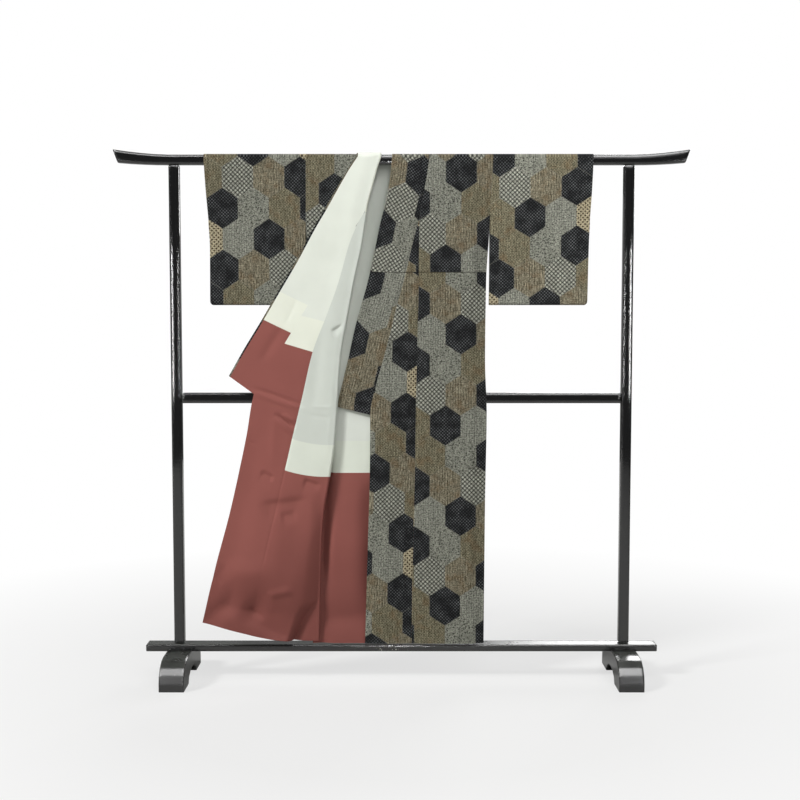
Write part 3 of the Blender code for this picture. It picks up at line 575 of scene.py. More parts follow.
def soft_curve(places, values, at):
    """The value at a place, on a soft curve through a table that never overshoots it."""
    places, values = np.asarray(places, float), np.asarray(values, float)
    if places[0] > places[-1]:
        places, values = places[::-1], values[::-1]
    step = np.diff(places)
    slope = np.diff(values) / step
    before = np.concatenate((slope[:1], slope))
    after = np.concatenate((slope, slope[-1:]))
    same_way = before * after > 0
    tangent = np.where(same_way, 2 * before * after / np.where(same_way, before + after, 1.0), 0.0)
    at = np.clip(at, places[0], places[-1])
    i = np.clip(np.searchsorted(places, at, side="right") - 1, 0, len(step) - 1)
    t = (at - places[i]) / step[i]
    return (values[i] * (2 * t ** 3 - 3 * t ** 2 + 1) + values[i + 1] * (3 * t ** 2 - 2 * t ** 3)
            + step[i] * (tangent[i] * (t ** 3 - 2 * t ** 2 + t)
                         + tangent[i + 1] * (t ** 3 - t ** 2)))


def at_height(table, z, index):
    return soft_curve([row[0] for row in table], [row[index] for row in table], z)


def row_at(table, z, index):
    """The row of a table in cm that lies at a height, and the share on to the next."""
    return soft_curve([row[index] * CM for row in table], range(len(table)), z)


def on_row(table, row, index):
    return soft_curve(range(len(table)), [values[index] * CM for values in table], row)


def nearest(z, height):
    return int(np.argmin(np.abs(z - height)))


def even_steps(count):
    return np.linspace(0, 1, count)[None, :]


def creases(table, x, z):
    """Height of the creases at a point: each swells and dies out along its own line."""
    height = 0.0 * x * z
    for *ends, half_width, peak, right_width in (
            row if len(row) == 7 else (*row, row[4]) for row in table):
        ax, az, bx, bz = (v * CM for v in ends)
        long = math.hypot(bx - ax, bz - az)
        ux, uz = (bx - ax) / long, (bz - az) / long
        share = ((x - ax) * ux + (z - az) * uz) / long
        off = (x - ax) * uz - (z - az) * ux
        off = off / (np.where(off > 0, right_width, half_width) * CM)
        height += CREASE_FULL * peak * np.exp(-off * off) * (
            ease(share / 0.35 + 0.3) * ease((1.2 - share) / 0.45))
    return height


def flutes(x, z):
    """Slack of the hanging sheets, which grows towards the hem."""
    slack = SLACK * ease((SLACKENS[0] - z) / SLACKENS[1])
    return slack * (np.sin(27.0 * x + 0.4) + 0.6 * np.sin(46.0 * x + 1.1))


def side_at(z, side):
    return at_height(SIDES, z, 1 if side == "left" else 2)


def tuck_step(z):
    """The cloth above the waist tuck stands over the cloth below it."""
    return np.where(z > TUCK, TUCK_OVER[0] * (1.0 - ease((z - TUCK) / TUCK_OVER[1])),
                    -TUCK_UNDER[0] * (1.0 - ease((TUCK - z) / TUCK_UNDER[1])))


def hanging(x, z, side, is_front):
    """Depth of the body's front or back sheet."""
    front, back = at_height(DRAPE, z, 1), at_height(DRAPE, z, 2)
    half_seam = SILK / 2 + SEAM_GAP
    if is_front:
        plane, seam = front + flutes(x, z), (front + back) / 2 - half_seam
        if side == "right":
            plane = plane - tuck_step(z) - creases(HANGING_CREASES, x, z)
            for index in (2, 3):
                off = (x - at_height(RIGHT_FRONT, z / CM, index) * CM) / SEAM_WIDTH
                plane = plane + SEAM_DIP * np.exp(-off * off)
        else:
            start = fold_line(z)
            plane = plane + at_height(BILLOW, z, 1) * (1.0 - ease((start - x) / FOLD_PULL))
    else:
        plane = back - creases(BACK_CREASES, x, z)
        seam = (front + back) / 2 + half_seam
    closed = ease((SLEEVE_JOIN - z) / (SLEEVE_JOIN - SIDE_SEAM_TOP))
    pull = closed * (1.0 - ease(np.abs(x - side_at(z, side)) / SIDE_ROUND))
    return blend(plane, seam, pull)


def seam_across(height):
    """Place across of the turned-out collar's seam at a height."""
    return SEAM_START[0] - SEAM_LEAN * (SEAM_START[1] - height)


def fold_line(z):
    """Where the left front's fold starts to turn."""
    line = soft_curve([up * CM for _, up in FOLD_LINE], [x * CM for x, _ in FOLD_LINE], z)
    return line - at_height(TURNED, z, 1)


def fold_at(z):
    """Where the left front's fold starts to turn, its radius and the depth behind it."""
    start = fold_line(z)
    return start, at_height(TURNED, z, 1), hanging(start, z, "left", True)


def seam_at(z):
    """Place across of the left overlap's seam at a height."""
    return soft_curve([row[3] * CM for row in LEFT_FRONT], [row[2] * CM for row in LEFT_FRONT], z)


def turned(x, z):
    """Depth of the layer that is turned outwards, in front of its own fold."""
    start, radius, behind = fold_at(z)
    near, far = at_height(BILLOW, z, 3), at_height(BILLOW, z, 4)
    away = np.clip((start - x - near) / (far - near), 0.0, 1.0)
    away = blend(away * (2.0 - away), ease(away), ease((z - STEEP[0]) / STEEP[1]))
    slack = TURNED_SLACK * ease((TURNED_SLACKENS[0] - z) / TURNED_SLACKENS[1])
    across = 0.97 * x - 0.23 * z      # square to the fold
    layer = at_height(TURNED, z, 2) + slack * (
        np.sin(38.0 * across + 0.6) + 0.5 * np.sin(71.0 * across + 2.0))
    layer = layer - FOLD_ROLL * ease((z - ROLLS[0]) / ROLLS[1]) * ease(
        (start - x) / ROLL_WIDTH[0]) * (1.0 - ease((start - x) / ROLL_WIDTH[1]))
    layer = layer - at_height(BILLOW, z, 2) * ease((start - x) / BILLOW_REACH[0]) * (
        1.0 - ease((start - x - BILLOW_REACH[0]) / BILLOW_REACH[1]))
    off = (x - seam_at(z)) / SEAM_WIDTH
    layer = layer + SEAM_DIP * 0.6 * np.exp(-off * off) * (
        ease((SEAM_SINKS[0] - z) / SEAM_SINKS[1]) * ease((z - SEAM_ENDS[0]) / SEAM_ENDS[1]))
    raised = creases(TURNED_CREASES, x, z) * ease((start - x) / 0.02)
    return blend(behind - 2 * radius, layer, away) - raised


def over_bar(off, step=10):
    """Depth and height of a sheet over the bar, from its back to its front."""
    radius = BAR_ROUND + off
    side = BAR_HALF - BAR_ROUND
    front = [(-side - radius * math.cos(math.radians(a)),
              BAR_SHOULDER + radius * math.sin(math.radians(a))) for a in range(0, 91, step)]
    return [(-y, z) for y, z in front] + front[::-1]


# where the pattern lies on each panel: across and up of a known hexagon, its column and row,
# and whether the rows run down the front or up it
BOLT = {
    "body_left": (-0.2639, 1.5771, 0.5, 2.0, -1),
    "body_right": (0.1412, 1.3512, 1.0, 2.0, 1),
}


def down_bolt(y, z, is_front):
    """Distance down the front, or on down the back, from the middle of the bar's top."""
    fall = BAR_HALF + FIRST_LAYER + np.maximum(BAR_SHOULDER - z, 0.0)
    return np.where(z >= BAR_SHOULDER - 1e-6, -y, fall if is_front else -fall)


def on_bolt(name, x, y, z, is_front=True):
    across, up, hex_column, hex_row, way = BOLT[name]
    down = down_bolt(y, z, is_front) - down_bolt(y, np.float64(up), True)
    return hex_column * HEX_WIDTH + x - across, hex_row * HEX_ROW + way * down


def sheet(x, y, z, u, v):
    """One grid of cloth: its points, and their places on the bolt."""
    x, y, z, u, v = np.broadcast_arrays(x, y, z, u, v)
    return np.stack((x, y, z), -1), np.stack((u, v), -1)


def levels(top, bottom, step, extra=()):
    """Heights from a top to a bottom, with extra ones where a fold or a join needs them."""
    even = np.linspace(top, bottom, max(2, round((top - bottom) / step) + 1))
    kept = [z for z in even if all(abs(z - e) > 0.3 * step for e in extra)
            or z in (even[0], even[-1])]
    return np.array(sorted({*kept, *extra}, reverse=True))[:, None]


SAME_POINT = 0.00004
CREASED = math.radians(55)     # past this angle an edge is a crease


def cloth(name, sheets, materials, thickness, first_faces, double):
    """A thin wall around the grids, joined where they meet, with the bolt's map on it."""
    places, faces, maps, count = [], [], [], 0
    for points, bolt in sheets:
        rows, columns = points.shape[:2]
        index = np.arange(rows * columns).reshape(rows, columns) + count
        count += rows * columns
        faces.append(np.stack((index[:-1, :-1], index[:-1, 1:], index[1:, 1:], index[1:, :-1]),
                              -1).reshape(-1, 4))
        places.append(points.reshape(-1, 3))
        maps.append(bolt.reshape(-1, 2))
    places, faces, maps = (np.concatenate(part) for part in (places, faces, maps))
    name = name + "_cloth"
    mesh = bpy.data.meshes.new(name)
    mesh.from_pydata(places.tolist(), [], faces.tolist())
    layer = mesh.uv_layers.new(name="bolt")
    layer.data.foreach_set("uv", maps[faces.reshape(-1)].astype(np.float32).reshape(-1))
    bm = bmesh.new()
    bm.from_mesh(mesh)
    bmesh.ops.remove_doubles(bm, verts=bm.verts, dist=SAME_POINT)
    bmesh.ops.recalc_face_normals(bm, faces=bm.faces)
    bm.faces.ensure_lookup_table()
    if bm.faces[0].normal.dot(Vector(first_faces)) < 0:
        bmesh.ops.reverse_faces(bm, faces=bm.faces)
    for face in bm.faces:
        face.smooth = True
        if double and face.calc_center_median().z <= LINING_CHANGE:
            face.material_index = 2
    for edge in bm.edges:
        edge.smooth = not edge.is_boundary and edge.calc_face_angle(0.0) < CREASED
    bm.to_mesh(mesh)
    bm.free()
    for material in materials:
        mesh.materials.append(material)
    piece = bpy.data.objects.new(name, mesh)
    bpy.context.scene.collection.objects.link(piece)
    wall = piece.modifiers.new("wall", "SOLIDIFY")
    wall.thickness = thickness
    wall.offset = 0.0
    wall.use_even_offset = True
    wall.material_offset = 1 if double else 0
    return piece


def panel(node, sheets, materials, first_faces=(0, 1, 0), double=True,
          thickness=SILK):
    """A piece of cloth in place of its solid, which is hidden."""
    piece = cloth(node, sheets, materials, thickness, first_faces, double)
    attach(piece, "root")
    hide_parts(node)


def lining(node, grids, silk):
    panel(node, grids, [silk], (0, -1, 0), False, LINING)


def back_sheet(side):
    """The back from the neck down to the hem, from its side edge to the centre seam."""
    gap = SEAM_GAP if side == "left" else -SEAM_GAP
    z = levels(BAR_SHOULDER, HEM, COARSE_BACK, (LINING_CHANGE,))
    neck = NECK[side] - gap
    outer = blend(side_at(z, side) + gap, neck, even_steps(SIDE_STEPS))
    inner = blend(neck, CENTRE - gap, even_steps(9)[:, 1:]) + 0.0 * z
    x = np.concatenate((outer, inner), 1)
    z = z + 0.0 * x
    z[0, SIDE_STEPS:] -= NECK_DIP
    y = hanging(x, z, side, False)
    return x, y, z


def shoulder_sheet(side):
    gap = SEAM_GAP if side == "left" else -SEAM_GAP
    y, z = (np.array(part)[:, None] for part in zip(*over_bar(FIRST_LAYER)))
    x = blend(side_at(BAR_TOP, side) + gap, NECK[side] - gap, even_steps(SIDE_STEPS))
    return sheet(x, y, z, *on_bolt("body_" + side, x, y, z))


def behind_fold_sheet():
    """The left front that still hangs straight, from its side edge to the fold."""
    z = np.concatenate((levels(BAR_SHOULDER, TURNED_TOP + 0.002, COARSE), TURNED_LEVELS))
    inner = np.minimum(NECK["left"] - SEAM_GAP, fold_at(z)[0])
    inner = np.where(z <= TURNED_LEVELS[0], fold_at(z)[0], inner)
    x = blend(side_at(z, "left") + SEAM_GAP, inner, even_steps(SIDE_STEPS))
    y = hanging(x, z, "left", True)
    return sheet(x, y, z, *on_bolt("body_left", x, y, z))


def fold_arc(z, first_angle):
    """Points round the fold, from behind it (-90 degrees) to its front (90)."""
    start, radius, behind = fold_at(z)
    angle = np.radians(np.arange(first_angle, 91, FOLD_STEP))[None, :]
    return (start + radius * np.cos(angle), behind - radius - radius * np.sin(angle),
            z + 0.0 * angle)


def turned_body_sheet(first_angle):
    """The left front round its fold and out to the overlap seam."""
    z = TURNED_LEVELS
    row = row_at(LEFT_FRONT, z, 5)
    seam, seam_up = (on_row(LEFT_FRONT, row, i) for i in (2, 3))
    above = 0.5 * np.maximum(z - LEFT_FRONT[0][5] * CM, 0.0)
    seam, seam_up = seam + SEAM_LEAN * above, seam_up + above
    sag = HEM_SAG * row / (len(LEFT_FRONT) - 1)
    arc = fold_arc(z, first_angle)
    share = even_steps(50)[:, 1:]
    flat_x = blend(arc[0][:, -1:], seam, share)
    flat_z = blend(z, seam_up, share) - 4 * sag * share * (1 - share)
    x, y, z = (np.concatenate(part, 1) for part in zip(
        arc, (flat_x, turned(flat_x, flat_z), flat_z)))
    unfolded = 2 * fold_at(z)[0] - x
    return sheet(x, y, z, *on_bolt("body_left", unfolded, y, z))


def run_on(part):
    """The grid with its last column moved out past the seam, to lie under its neighbour."""
    return np.concatenate((part[:, :-1], part[:, -1:] + RUN_ON * (part[:, -1:] - part[:, -2:-1])),
                          1)


def lining_of(grid, rows, join_at_end):
    """A lining laid on some rows of a turned-out panel; its map runs up from the join."""
    points = grid[0]
    normal = np.cross(np.gradient(points, axis=1), np.gradient(points, axis=0))
    normal /= np.linalg.norm(normal, axis=-1, keepdims=True)
    normal *= -np.sign(normal[..., 1].mean())
    points = (points + normal * LINING_OFF)[rows]
    step = np.linalg.norm(np.diff(points, axis=0), axis=-1)
    down = np.concatenate((np.zeros_like(step[:1]), np.cumsum(step, 0)))
    above = down[-1:] - down if join_at_end else -down
    return points, np.stack((points[..., 0], above), -1)


TURNED_TOP, TURNED_HEM = 1.519, 0.131
JOIN_UP = LEFT_FRONT[BODY_JOIN_ROW][5] * CM
TURNED_LEVELS = levels(TURNED_TOP, TURNED_HEM, FINE, (JOIN_UP,))
back = back_sheet("left")
panel("body_left", [
    sheet(*back, *on_bolt("body_left", *back, False)), shoulder_sheet("left"),
    behind_fold_sheet(), turned_body_sheet(-90)], LINED)

# the lining of the left back, from below the neck: white down to the join, and red below it
inside = sheet(*(part[:, 5:] for part in back), 0.0, 0.0)
join = nearest(back[2][:, 5], LINING_CHANGE)
for name, rows, silk, area, length in (
        ("back_lining", slice(1, join + 1), back_silk, 0.25, 1.02),
        ("back_hem_lining", slice(join, None), red_silk, 0.14, 0.56)):
    lining(name, [lining_of(inside, rows, silk is back_silk)], silk)

# the lining of the turned-out front, which runs on under the overlap's
turned_body = [run_on(part) for part in turned_body_sheet(-FOLD_STEP)]
join = nearest(TURNED_LEVELS, JOIN_UP)
for name, rows, silk, area, length in (
        ("body_lining_left", slice(None, join + 1), white_silk, 0.08, 0.9),
        ("body_hem_lining_left", slice(join, None), red_silk, 0.11, 0.56)):
    grid = lining_of(turned_body, rows, silk is white_silk)
    grid[0][:, -1, 1] += RUN_ON_SINK
    lining(name, [grid], silk)

# the right width, with its tuck
back = back_sheet("right")
z = levels(BAR_SHOULDER, HEM, EVEN, (LINING_CHANGE, *TUCK_LEVELS))
x = blend(side_at(z, "right") - SEAM_GAP, at_height(RIGHT_FRONT, z / CM, 3) * CM + SEAM_GAP,
          even_steps(SIDE_STEPS))
y = hanging(x, z, "right", True)
u, v = on_bolt("body_right", x, y, z)
v = v + np.where(z > TUCK, 0.0, TUCK_TAKES)
panel("body_right", [
    sheet(*back, *on_bolt("body_right", *back, False)), shoulder_sheet("right"),
    sheet(x, y, z, u, v)], LINED)


# ---------------------------------------------------------------- overlaps
# A half width of silk is sewn to each front's inner edge, so that the fronts can cross. Its
# upper tip dies out at the collar seam. The left one is turned out with its front, and the
# right one hangs with the pattern running the other way up.

OVERLAP_ROWS = LEFT_FRONT[1:]
OVERLAP_JOIN_ROW = 4      # its lining turns red at this one of those rows
COLLAR_END = 0.937        # the left one's edge leaves the collar seam here
OVERLAP_TUCK = (0.0214, 0.0511)    # above its tuck the right one's pattern lies so far off
RIGHT_TIP = 1.490
RIGHT_HEXAGON = (0.031, 0.4847)    # in from its seam, and up, to a known hexagon
OVERLAP_STEPS = (34, 18)           # columns of the left one and of the right one

JOIN_UP = OVERLAP_ROWS[OVERLAP_JOIN_ROW][0] * CM
z = levels(OVERLAP_ROWS[0][0] * CM, OVERLAP_ROWS[-1][0] * CM, FINE, (JOIN_UP,))
join = nearest(z, JOIN_UP)
row = row_at(OVERLAP_ROWS, z, 0)
edge, seam, seam_up = (on_row(OVERLAP_ROWS, row, i) for i in (1, 2, 3))
edge = np.where(z >= COLLAR_END, seam_across(z), edge)
share = even_steps(OVERLAP_STEPS[0])
x, z = blend(seam, edge, share), blend(seam_up, z, share)
overlap = sheet(x, turned(x, z), z, 2 * fold_at(z)[0] - x, z)
panel("overlap_left", [overlap], LINED)

# its lining: the white runs on under the collar's
grid = lining_of([run_on(part) for part in overlap], slice(None, join + 1), True)
grid[0][:, -1, 1] += RUN_ON_SINK
lining("overlap_lining_left", [grid], doubled_silk)
lining("overlap_hem_lining_left", [lining_of(overlap, slice(join, None), False)], red_silk)

# the right overlap, with its tuck
z = levels(RIGHT_TIP, HEM, EVEN, (LINING_CHANGE, *TUCK_LEVELS))
inner, seam = (at_height(RIGHT_FRONT, z / CM, i) * CM for i in (2, 3))
x = blend(inner + SEAM_GAP, seam - SEAM_GAP, even_steps(OVERLAP_STEPS[1]))
u = 2.5 * HEX_WIDTH + RIGHT_HEXAGON[0] + x - seam - np.where(z > TUCK, OVERLAP_TUCK[0], 0.0)
v = 3 * HEX_ROW + z - RIGHT_HEXAGON[1] + np.where(z > TUCK, OVERLAP_TUCK[1], 0.0)
panel("overlap_right", [sheet(x, hanging(x, z, "right", True), z, u, v)], LINED,
      first_faces=(0, -1, 0))


# ---------------------------------------------------------------- collar
# One long band, sewn to the neck and down both fronts. On the left it's folded over with the
# front and shows its lining; on the right it lies flat to its square end; behind the neck
# it's folded double and hangs outside the back.

# in cm: outer edge across and up, height of the fold or the seam
LEFT_COLLAR = (
    (-14.3, 169.4, 169.4),
    (-17.3, 165.0, 165.0),
    (-20.4, 159.8, 159.3),
    (-24.4, 152.9, 152.2),
    (-27.9, 147.0, 141.8),
    (-33.4, 136.8, 131.0),
    (-39.6, 126.3, 120.5),
    (-44.6, 117.7, 113.3),
    (-50.6, 107.9, 102.8),
    (-55.4, 99.5, 93.7),
)
COLLAR_JOIN_ROW = 7       # its lining turns red at this row
COLLAR_WIDTH = 0.115
COLLAR_HEM = 0.0060       # the silk shows this far past the lining
COLLAR_LEAN = math.radians(12.5)
COLLAR_ALONG = 0.040      # place of the first row of hexagons below the bar
COLLAR_TUCK = 0.030       # cloth hidden in its waist tuck
COLLAR_STEPS = (25, 19)   # columns of the left one and of the right one
NECK_STEPS = 6            # columns of the left one from the neck to the fold
NECK_IN = 0.11            # the left one's edge at the neck lies this far across the band
UNDER_END = 1.522         # the cloth behind the fold ends here
WRAP_END = 1.507          # and the lining round the fold here
RIGHT_END = (0.869, 0.894)    # the square end's inner corner and outer corner
RIGHT_SQUARING = 0.111    # its rows turn square over this height
BACK_COLLAR_DROP = 0.055
BACK_COLLAR_TOP = 1.6965
BACK_COLLAR_REACH = 0.012
BACK_COLLAR_BOW = 0.18    # its lower edge hangs this share lower in the middle
BACK_COLLAR_LIFT = 0.004  # and stands this far off the back
BACK_COLLAR_OFF = 0.0003
DOUBLE_SILK = 0.0024
LINED_COLLAR = (collar_silk, white_inside, collar_silk, red_inside)


def collar_map(x, y, z, outer):
    """The bolt's map on the collar: across from its outer edge, and along the band."""
    along = down_bolt(y, z, True) - BAR_HALF - FIRST_LAYER
    along = along / math.cos(COLLAR_LEAN) - (x - outer) * math.sin(COLLAR_LEAN) - COLLAR_ALONG
    return (x - outer) * math.cos(COLLAR_LEAN), along + np.where(z > TUCK, 0.0, COLLAR_TUCK)


def on_bar(across, offs):
    """Rows of a collar over the bar, from behind it to its front."""
    y, z = np.array([over_bar(off) for off in offs]).transpose(2, 1, 0)
    return across + 0.0 * y[3:], y[3:], z[3:]


def stacked(*parts):
    return [np.concatenate(part) for part in zip(*parts)]


# the left collar's outer layer, from behind the bar down to where it leaves the overlap
JOIN_UP = LEFT_COLLAR[COLLAR_JOIN_ROW][2] * CM
z = levels(BAR_SHOULDER, COLLAR_END, FINE, (JOIN_UP,))
join = nearest(z, JOIN_UP)
row = row_at(LEFT_COLLAR, z, 2)
edge, edge_up = (on_row(LEFT_COLLAR, row, i) for i in (0, 1))
inner = np.where(z > SEAM_START[1], fold_at(z)[0], seam_across(z))
share = even_steps(COLLAR_STEPS[0])
x, z = blend(inner, edge, share), blend(z, edge_up, share)
radius = TURNED[0][1]
bar_part = on_bar(x[:1], [FIRST_LAYER + 2 * radius] * COLLAR_STEPS[0])
join += len(bar_part[0]) - 1
x, y, z = stacked([part[:-1] for part in bar_part], (x, turned(x, z), z))
turned_collar = sheet(x, y, z, *collar_map(-x, y, z, -x[:, -1:]))

# its inner layer, from the neck to the fold and round it
angle = np.radians(np.arange(-90, 91, FOLD_STEP))
round_x = float(fold_at(BAR_TOP)[0][()]) + radius * np.cos(angle)
round_off = FIRST_LAYER + radius + radius * np.sin(angle)
neck = NECK["left"] + SEAM_GAP
flat_x = np.linspace(neck, round_x[0], NECK_STEPS)[:-1]
under_bar = on_bar(np.concatenate((flat_x, round_x))[None, :],
                   [FIRST_LAYER] * (NECK_STEPS - 1) + list(round_off))
z = levels(BAR_SHOULDER, UNDER_END, FINE)[:-1]
arc = fold_arc(z, -90)
flat_x = blend(np.minimum(neck, arc[0][:, :1] - SEAM_GAP), arc[0][:, :1],
               even_steps(NECK_STEPS)[:, :-1])
flat_y = hanging(flat_x, z, "left", True)
under = [np.concatenate(part, 1) for part in zip((flat_x, flat_y, z + 0.0 * flat_x), arc)]
x, y, z = stacked([part[:-1] for part in under_bar], under)
under_collar = sheet(x, y, z, *collar_map(-x, y, z, -x[:, :1] - NECK_IN))
panel("collar_left", [turned_collar, under_collar], [collar_silk],
      double=False)

# its lining stops short of the outer edge and wraps round the fold
last = COLLAR_STEPS[0] - 1
columns = np.linspace(0, last * (1 - COLLAR_HEM / COLLAR_WIDTH), COLLAR_STEPS[0])
low = np.minimum(columns.astype(int), last - 1)
lining_grid = [blend(part[:, low], part[:, low + 1], (columns - low)[None, :, None])
               for part in turned_collar]
arc = fold_arc(levels(BAR_SHOULDER, WRAP_END, FINE), -FOLD_STEP)
wrap = stacked([part[:-1, -arc[0].shape[1]:] for part in under_bar], arc)
wrap = lining_of(sheet(*wrap, *collar_map(-wrap[0], *wrap[1:], 0.0)), slice(None), False)
lining("collar_lining_left", [lining_of(lining_grid, slice(None, join + 1), True), wrap],
       doubled_silk)
lining("collar_end_lining_left", [lining_of(lining_grid, slice(join, None), False)], red_silk)

# the right collar, over the bar and down to its square end
z = levels(BAR_SHOULDER, RIGHT_END[0], EVEN, TUCK_LEVELS)
outer, seam = (at_height(RIGHT_FRONT, z / CM, i) * CM for i in (1, 2))
square = np.clip((RIGHT_END[0] + RIGHT_SQUARING - z) / RIGHT_SQUARING, 0.0, 1.0)
outer_up = z + (RIGHT_END[1] - RIGHT_END[0]) * square
share = even_steps(COLLAR_STEPS[1])
x, z = blend(outer, seam - SEAM_GAP, share), blend(outer_up, z, share)
x, y, z = stacked([part[:-1] for part in on_bar(x[:1], [FIRST_LAYER] * COLLAR_STEPS[1])],
                  (x, hanging(x, z, "right", True), z))
panel("collar_right", [sheet(x, y, z, *collar_map(x, y, z, x[:, :1]))], LINED_COLLAR,
      first_faces=(0, 0, 1))

# the double band behind the neck
near = DRAPE[0][2] + SILK / 2 + BACK_COLLAR_OFF + DOUBLE_SILK / 2
share = even_steps(9).T
x = np.linspace(NECK["left"] - BACK_COLLAR_REACH, NECK["right"] + BACK_COLLAR_REACH, 33)[None, :]
bow = 1.0 - ((x - CENTRE) / (NECK["right"] + BACK_COLLAR_REACH - CENTRE)) ** 2
drop = BACK_COLLAR_DROP * share * (1.0 - BACK_COLLAR_BOW + BACK_COLLAR_BOW * bow)
band = sheet(x, near + BACK_COLLAR_LIFT * share ** 2, BACK_COLLAR_TOP - drop, drop, x)
panel("collar_back", [band], [collar_silk], double=False,
      thickness=DOUBLE_SILK)


# ---------------------------------------------------------------- sleeves
# Each sleeve is one width of silk folded over the bar, sewn along the hem and up the cuff to
# the wrist opening. It's open beside the body below the armhole, as a woman's sleeve is.

# height, front and back beside the body, front and back at the cuff
SLEEVE_SHAPE = (
    (1.694, -0.0175, 0.0175, -0.0175, 0.0175),
    (1.665, -0.0178, 0.0178, -0.0178, 0.0178),
    (1.600, -0.0186, 0.0129, -0.0120, 0.0120),
    (1.486, -0.0199, 0.0074, -0.0022, 0.0022),
    (1.360, -0.0150, 0.0050, -0.0022, 0.0022),
    (1.260, -0.0110, 0.0030, -0.0022, 0.0022),
)
WRIST_END = 1.486         # the cuff is sewn together below this height
WRIST_SEWN = 0.004        # and this far past it
SLEEVE_HEM = 1.222
HEM_ROUND = 0.009
CORNER_ROUND = 0.011
CORNER_SHARE = 0.035      # of the sleeve's width
CORNER_STEP = 11.25       # degrees from one column to the next round the corner
SLEEVE_STEPS = (34, 42)   # columns up to the corner, and rows of each face
SLEEVE_PAINTED_LIGHT = 1.12              # the right sleeve's cloth is painted lighter, for the stronger light that falls on that side
BOLT["sleeve_left"] = (-0.5733, 1.5312, 0.0, 0.0, -1)
BOLT["sleeve_right"] = (0.3121, 1.6967, 0.0, 0.0, 1)
# height, left cuff, left inner edge, right inner edge, right cuff
SLEEVE_EDGES = (
    (1.694, -0.631, -0.305, 0.293, 0.612),
    (1.588, -0.626, -0.3055, 0.2875, 0.609),
    (1.486, -0.619, -0.306, 0.282, 0.604),
    (1.410, -0.615, -0.306, 0.282, 0.601),
    (1.222, -0.616, -0.307, 0.281, 0.598),
)
SLEEVE_CREASES = (
    (-40.0, 168.0, -38.5, 126.0, 2.6, 0.9),
    (-51.0, 150.0, -52.0, 124.0, 2.4, -0.8),
    (-57.5, 160.0, -56.5, 128.0, 2.0, 0.8),
    (38.0, 166.0, 37.0, 126.0, 2.4, 0.9),
    (47.5, 155.0, 49.0, 125.0, 2.6, -0.9),
    (55.0, 164.0, 54.5, 130.0, 2.0, 0.7),
)
# painted light: the right sleeve's silk is a lighter copy of the body's, for the light on that
# side
lit_sleeve_silk = patchwork_silk("patchwork silk, painted lighter", BODY_REPEAT, SLEEVE_PAINTED_LIGHT)
for side, cuff, inner in (("left", 1, 2), ("right", 4, 3)):
    corner = np.sin(np.radians(np.arange(0, 91, CORNER_STEP)))
    share = np.concatenate((np.linspace(0, 1 - CORNER_SHARE, SLEEVE_STEPS[0])[:-1],
                            1 - CORNER_SHARE * (1 - corner)))[None, :]
    corner = np.clip((share - 1.0) / CORNER_SHARE + 1.0, 0.0, 1.0)
    hem = SLEEVE_HEM + SILK / 2 + CORNER_ROUND * (1.0 - np.sqrt(1.0 - corner ** 2))
    z = blend(BAR_SHOULDER, hem + HEM_ROUND, even_steps(SLEEVE_STEPS[1]).T)
    front, back = (blend(at_height(SLEEVE_SHAPE, z, i), at_height(SLEEVE_SHAPE, z, i + 2), share)
                   for i in (1, 2))
    middle, half = (front[-1:] + back[-1:]) / 2, (back[-1:] - front[-1:]) / 2
    angle = np.radians(np.arange(FOLD_STEP, 91, FOLD_STEP))[:, None]
    low_z = hem + HEM_ROUND * (1.0 - np.sin(angle))
    low_y = half * np.cos(angle)
    bar_y, bar_z = (np.array(part)[1:-1, None] + 0.0 * share
                    for part in zip(*over_bar(FIRST_LAYER)))
    y = np.concatenate(((middle + low_y)[::-1], back[::-1], bar_y, front, middle - low_y))
    z = np.concatenate((low_z[::-1], z[::-1], bar_z, z, low_z))
    x = blend(at_height(SLEEVE_EDGES, z, inner), at_height(SLEEVE_EDGES, z, cuff), share)
    x = x - SEAM_GAP if side == "left" else x + SEAM_GAP
    slack = ease((BAR_TOP - 0.03 - z) / 0.1) * ease((z - SLEEVE_HEM - 0.01) / 0.05)
    slack = slack * ease(share / 0.08) * ease((1.0 - share) / 0.08)
    y = y - creases(SLEEVE_CREASES, x, z) * slack
    half_ring = len(z) // 2
    u, down = on_bolt("sleeve_" + side, x, y, z)
    down[:half_ring] = on_bolt("sleeve_" + side, x, y, z, False)[1][:half_ring]
    edge = np.nonzero(z[half_ring:, -1] <= WRIST_END + WRIST_SEWN)[0] + half_ring
    pairs = np.stack((edge, len(z) - 1 - edge), 1)
    sewn = [part[pairs, -1] for part in (x, y, z, u, down)]
    panel("sleeve_" + side, [sheet(x, y, z, u, down), sheet(*sewn)],
          (body_silk if side == "left" else lit_sleeve_silk, white_inside))


# ---------------------------------------------------------------- setting
# A plain pale floor, an even white room, a broad soft light high on the left, a long one
# overhead, and weaker ones from the front, the left and behind. Thin lines of light and a pale
# wall behind show only in the lacquer.

FLOOR_RADIUS = 6.0
FLOOR_PAINT = "#c2c2c0"
FLOOR_WHITE = 0.66        # how much of it shines white under the rack
FLOOR_FADES = (0.9, 2.4)  # it turns all white between these distances
ROOM = 0.10               # how bright the room is on the object
AIM = 0.95                # height that every light is turned to

scene = bpy.context.scene
scene.view_settings.view_transform = "Standard"

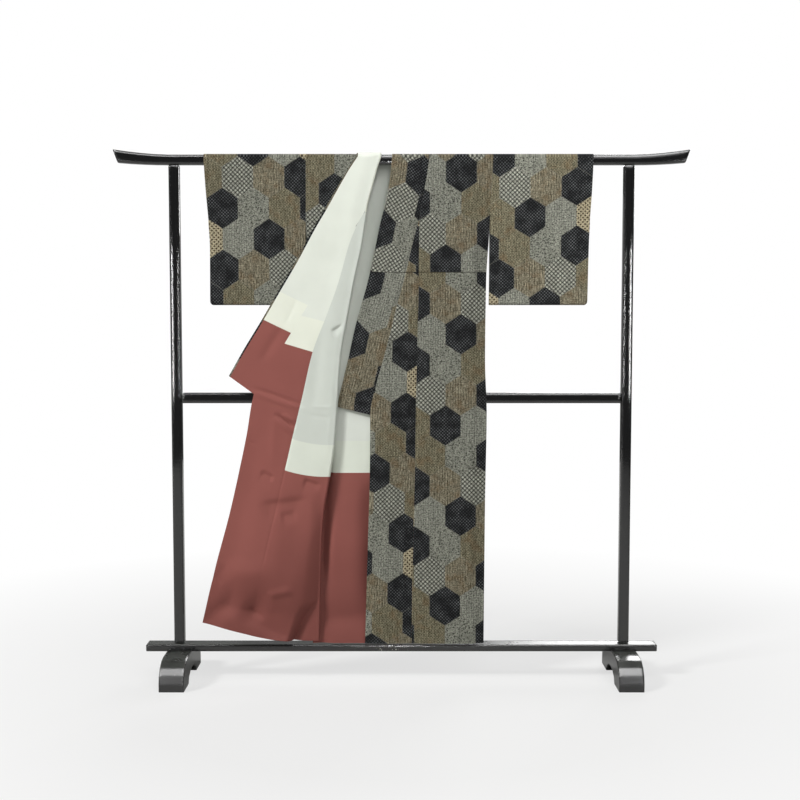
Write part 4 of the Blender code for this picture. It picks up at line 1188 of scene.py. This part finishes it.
floor_mesh = bpy.data.meshes.new("floor")
bm = bmesh.new()
bmesh.ops.create_circle(bm, cap_ends=True, segments=96, radius=FLOOR_RADIUS)
bm.to_mesh(floor_mesh)
bm.free()
floor = bpy.data.objects.new("floor", floor_mesh)
scene.collection.objects.link(floor)
paint, tree = new_material("pale floor paint")
place = add_node(tree, "TexCoord").outputs["Object"]
away = add_node(tree, "VectorMath", {0: place}, operation="LENGTH").outputs["Value"]
white = add_node(tree, "MapRange",
                 {0: away, 1: FLOOR_FADES[0], 2: FLOOR_FADES[1], 3: FLOOR_WHITE, 4: 1.0})
seen = add_node(tree, "LightPath").outputs["Is Camera Ray"]
white = add_node(tree, "Math", {0: white, 1: seen}, operation="MULTIPLY")
matt = add_node(tree, "BsdfDiffuse", {"Color": linear(FLOOR_PAINT)})
glow = add_node(tree, "Emission", {"Color": (1.0, 1.0, 1.0, 1.0)})
add_node(tree, "OutputMaterial", {0: add_node(tree, "MixShader", {0: white, 1: matt, 2: glow})})
floor_mesh.materials.append(paint)

world = bpy.data.worlds.new("even room")
scene.world = world
world.use_nodes = True
tree = world.node_tree
tree.nodes.clear()
seen = add_node(tree, "LightPath").outputs["Is Camera Ray"]
tone = add_node(tree, "Mix", {0: seen, 6: (ROOM, ROOM, ROOM, 1.0), 7: (1.0, 1.0, 1.0, 1.0)},
                data_type="RGBA")
add_node(tree, "OutputWorld", {
    0: add_node(tree, "Background", {"Color": tone.outputs[2], "Strength": 1.0})})

# name, place, width and height, power in watts
for name, place, width, height, power in (
        ("key", (-10.0, -6.45, 9.7), 2.7, 2.7, 1900.0),
        ("overhead", (1.0, -1.6, 4.2), 2.6, 0.5, 45.0),
        ("front", (0.6, -3.4, 3.4), 2.0, 2.0, 30.0),
        ("side", (-5.0, -2.6, 1.3), 0.35, 3.0, 22.0),
        ("back", (2.0, 5.0, 3.0), 2.5, 2.5, 190.0),
        ("high line", (0.0, -2.4, 4.4), 5.0, 0.7, 120.0),
        ("left line", (-1.95, -3.6, 1.14), 0.08, 0.92, 17.0),
        ("middle line", (0.0, -4.4, 1.14), 0.06, 0.9, 22.0),
        ("right line", (1.95, -3.6, 1.14), 0.08, 0.92, 17.0),
        ("wall line", (0.0, 4.5, 1.3), 7.0, 1.4, 8.0)):
    lamp = bpy.data.lights.new(name, "AREA")
    lamp.shape = "RECTANGLE"
    lamp.size, lamp.size_y = width, height
    lamp.energy = power
    light = bpy.data.objects.new(name, lamp)
    scene.collection.objects.link(light)
    light.location = place
    light.visible_camera = False
    light.visible_diffuse = "line" not in name
    light.rotation_mode = "QUATERNION"
    light.rotation_quaternion = (Vector((0.0, 0.0, AIM)) - Vector(place)).to_track_quat("-Z", "Y")

lens = bpy.data.cameras.new("camera")
lens.lens = 55.62
lens.sensor_width = 36.0
lens.clip_end = 50.0
camera = bpy.data.objects.new("camera", lens)
scene.collection.objects.link(camera)
camera.location = (-0.0049, -4.0, 1.1948)
camera.rotation_euler = (math.radians(86.0), 0.0, 0.0)
scene.camera = camera
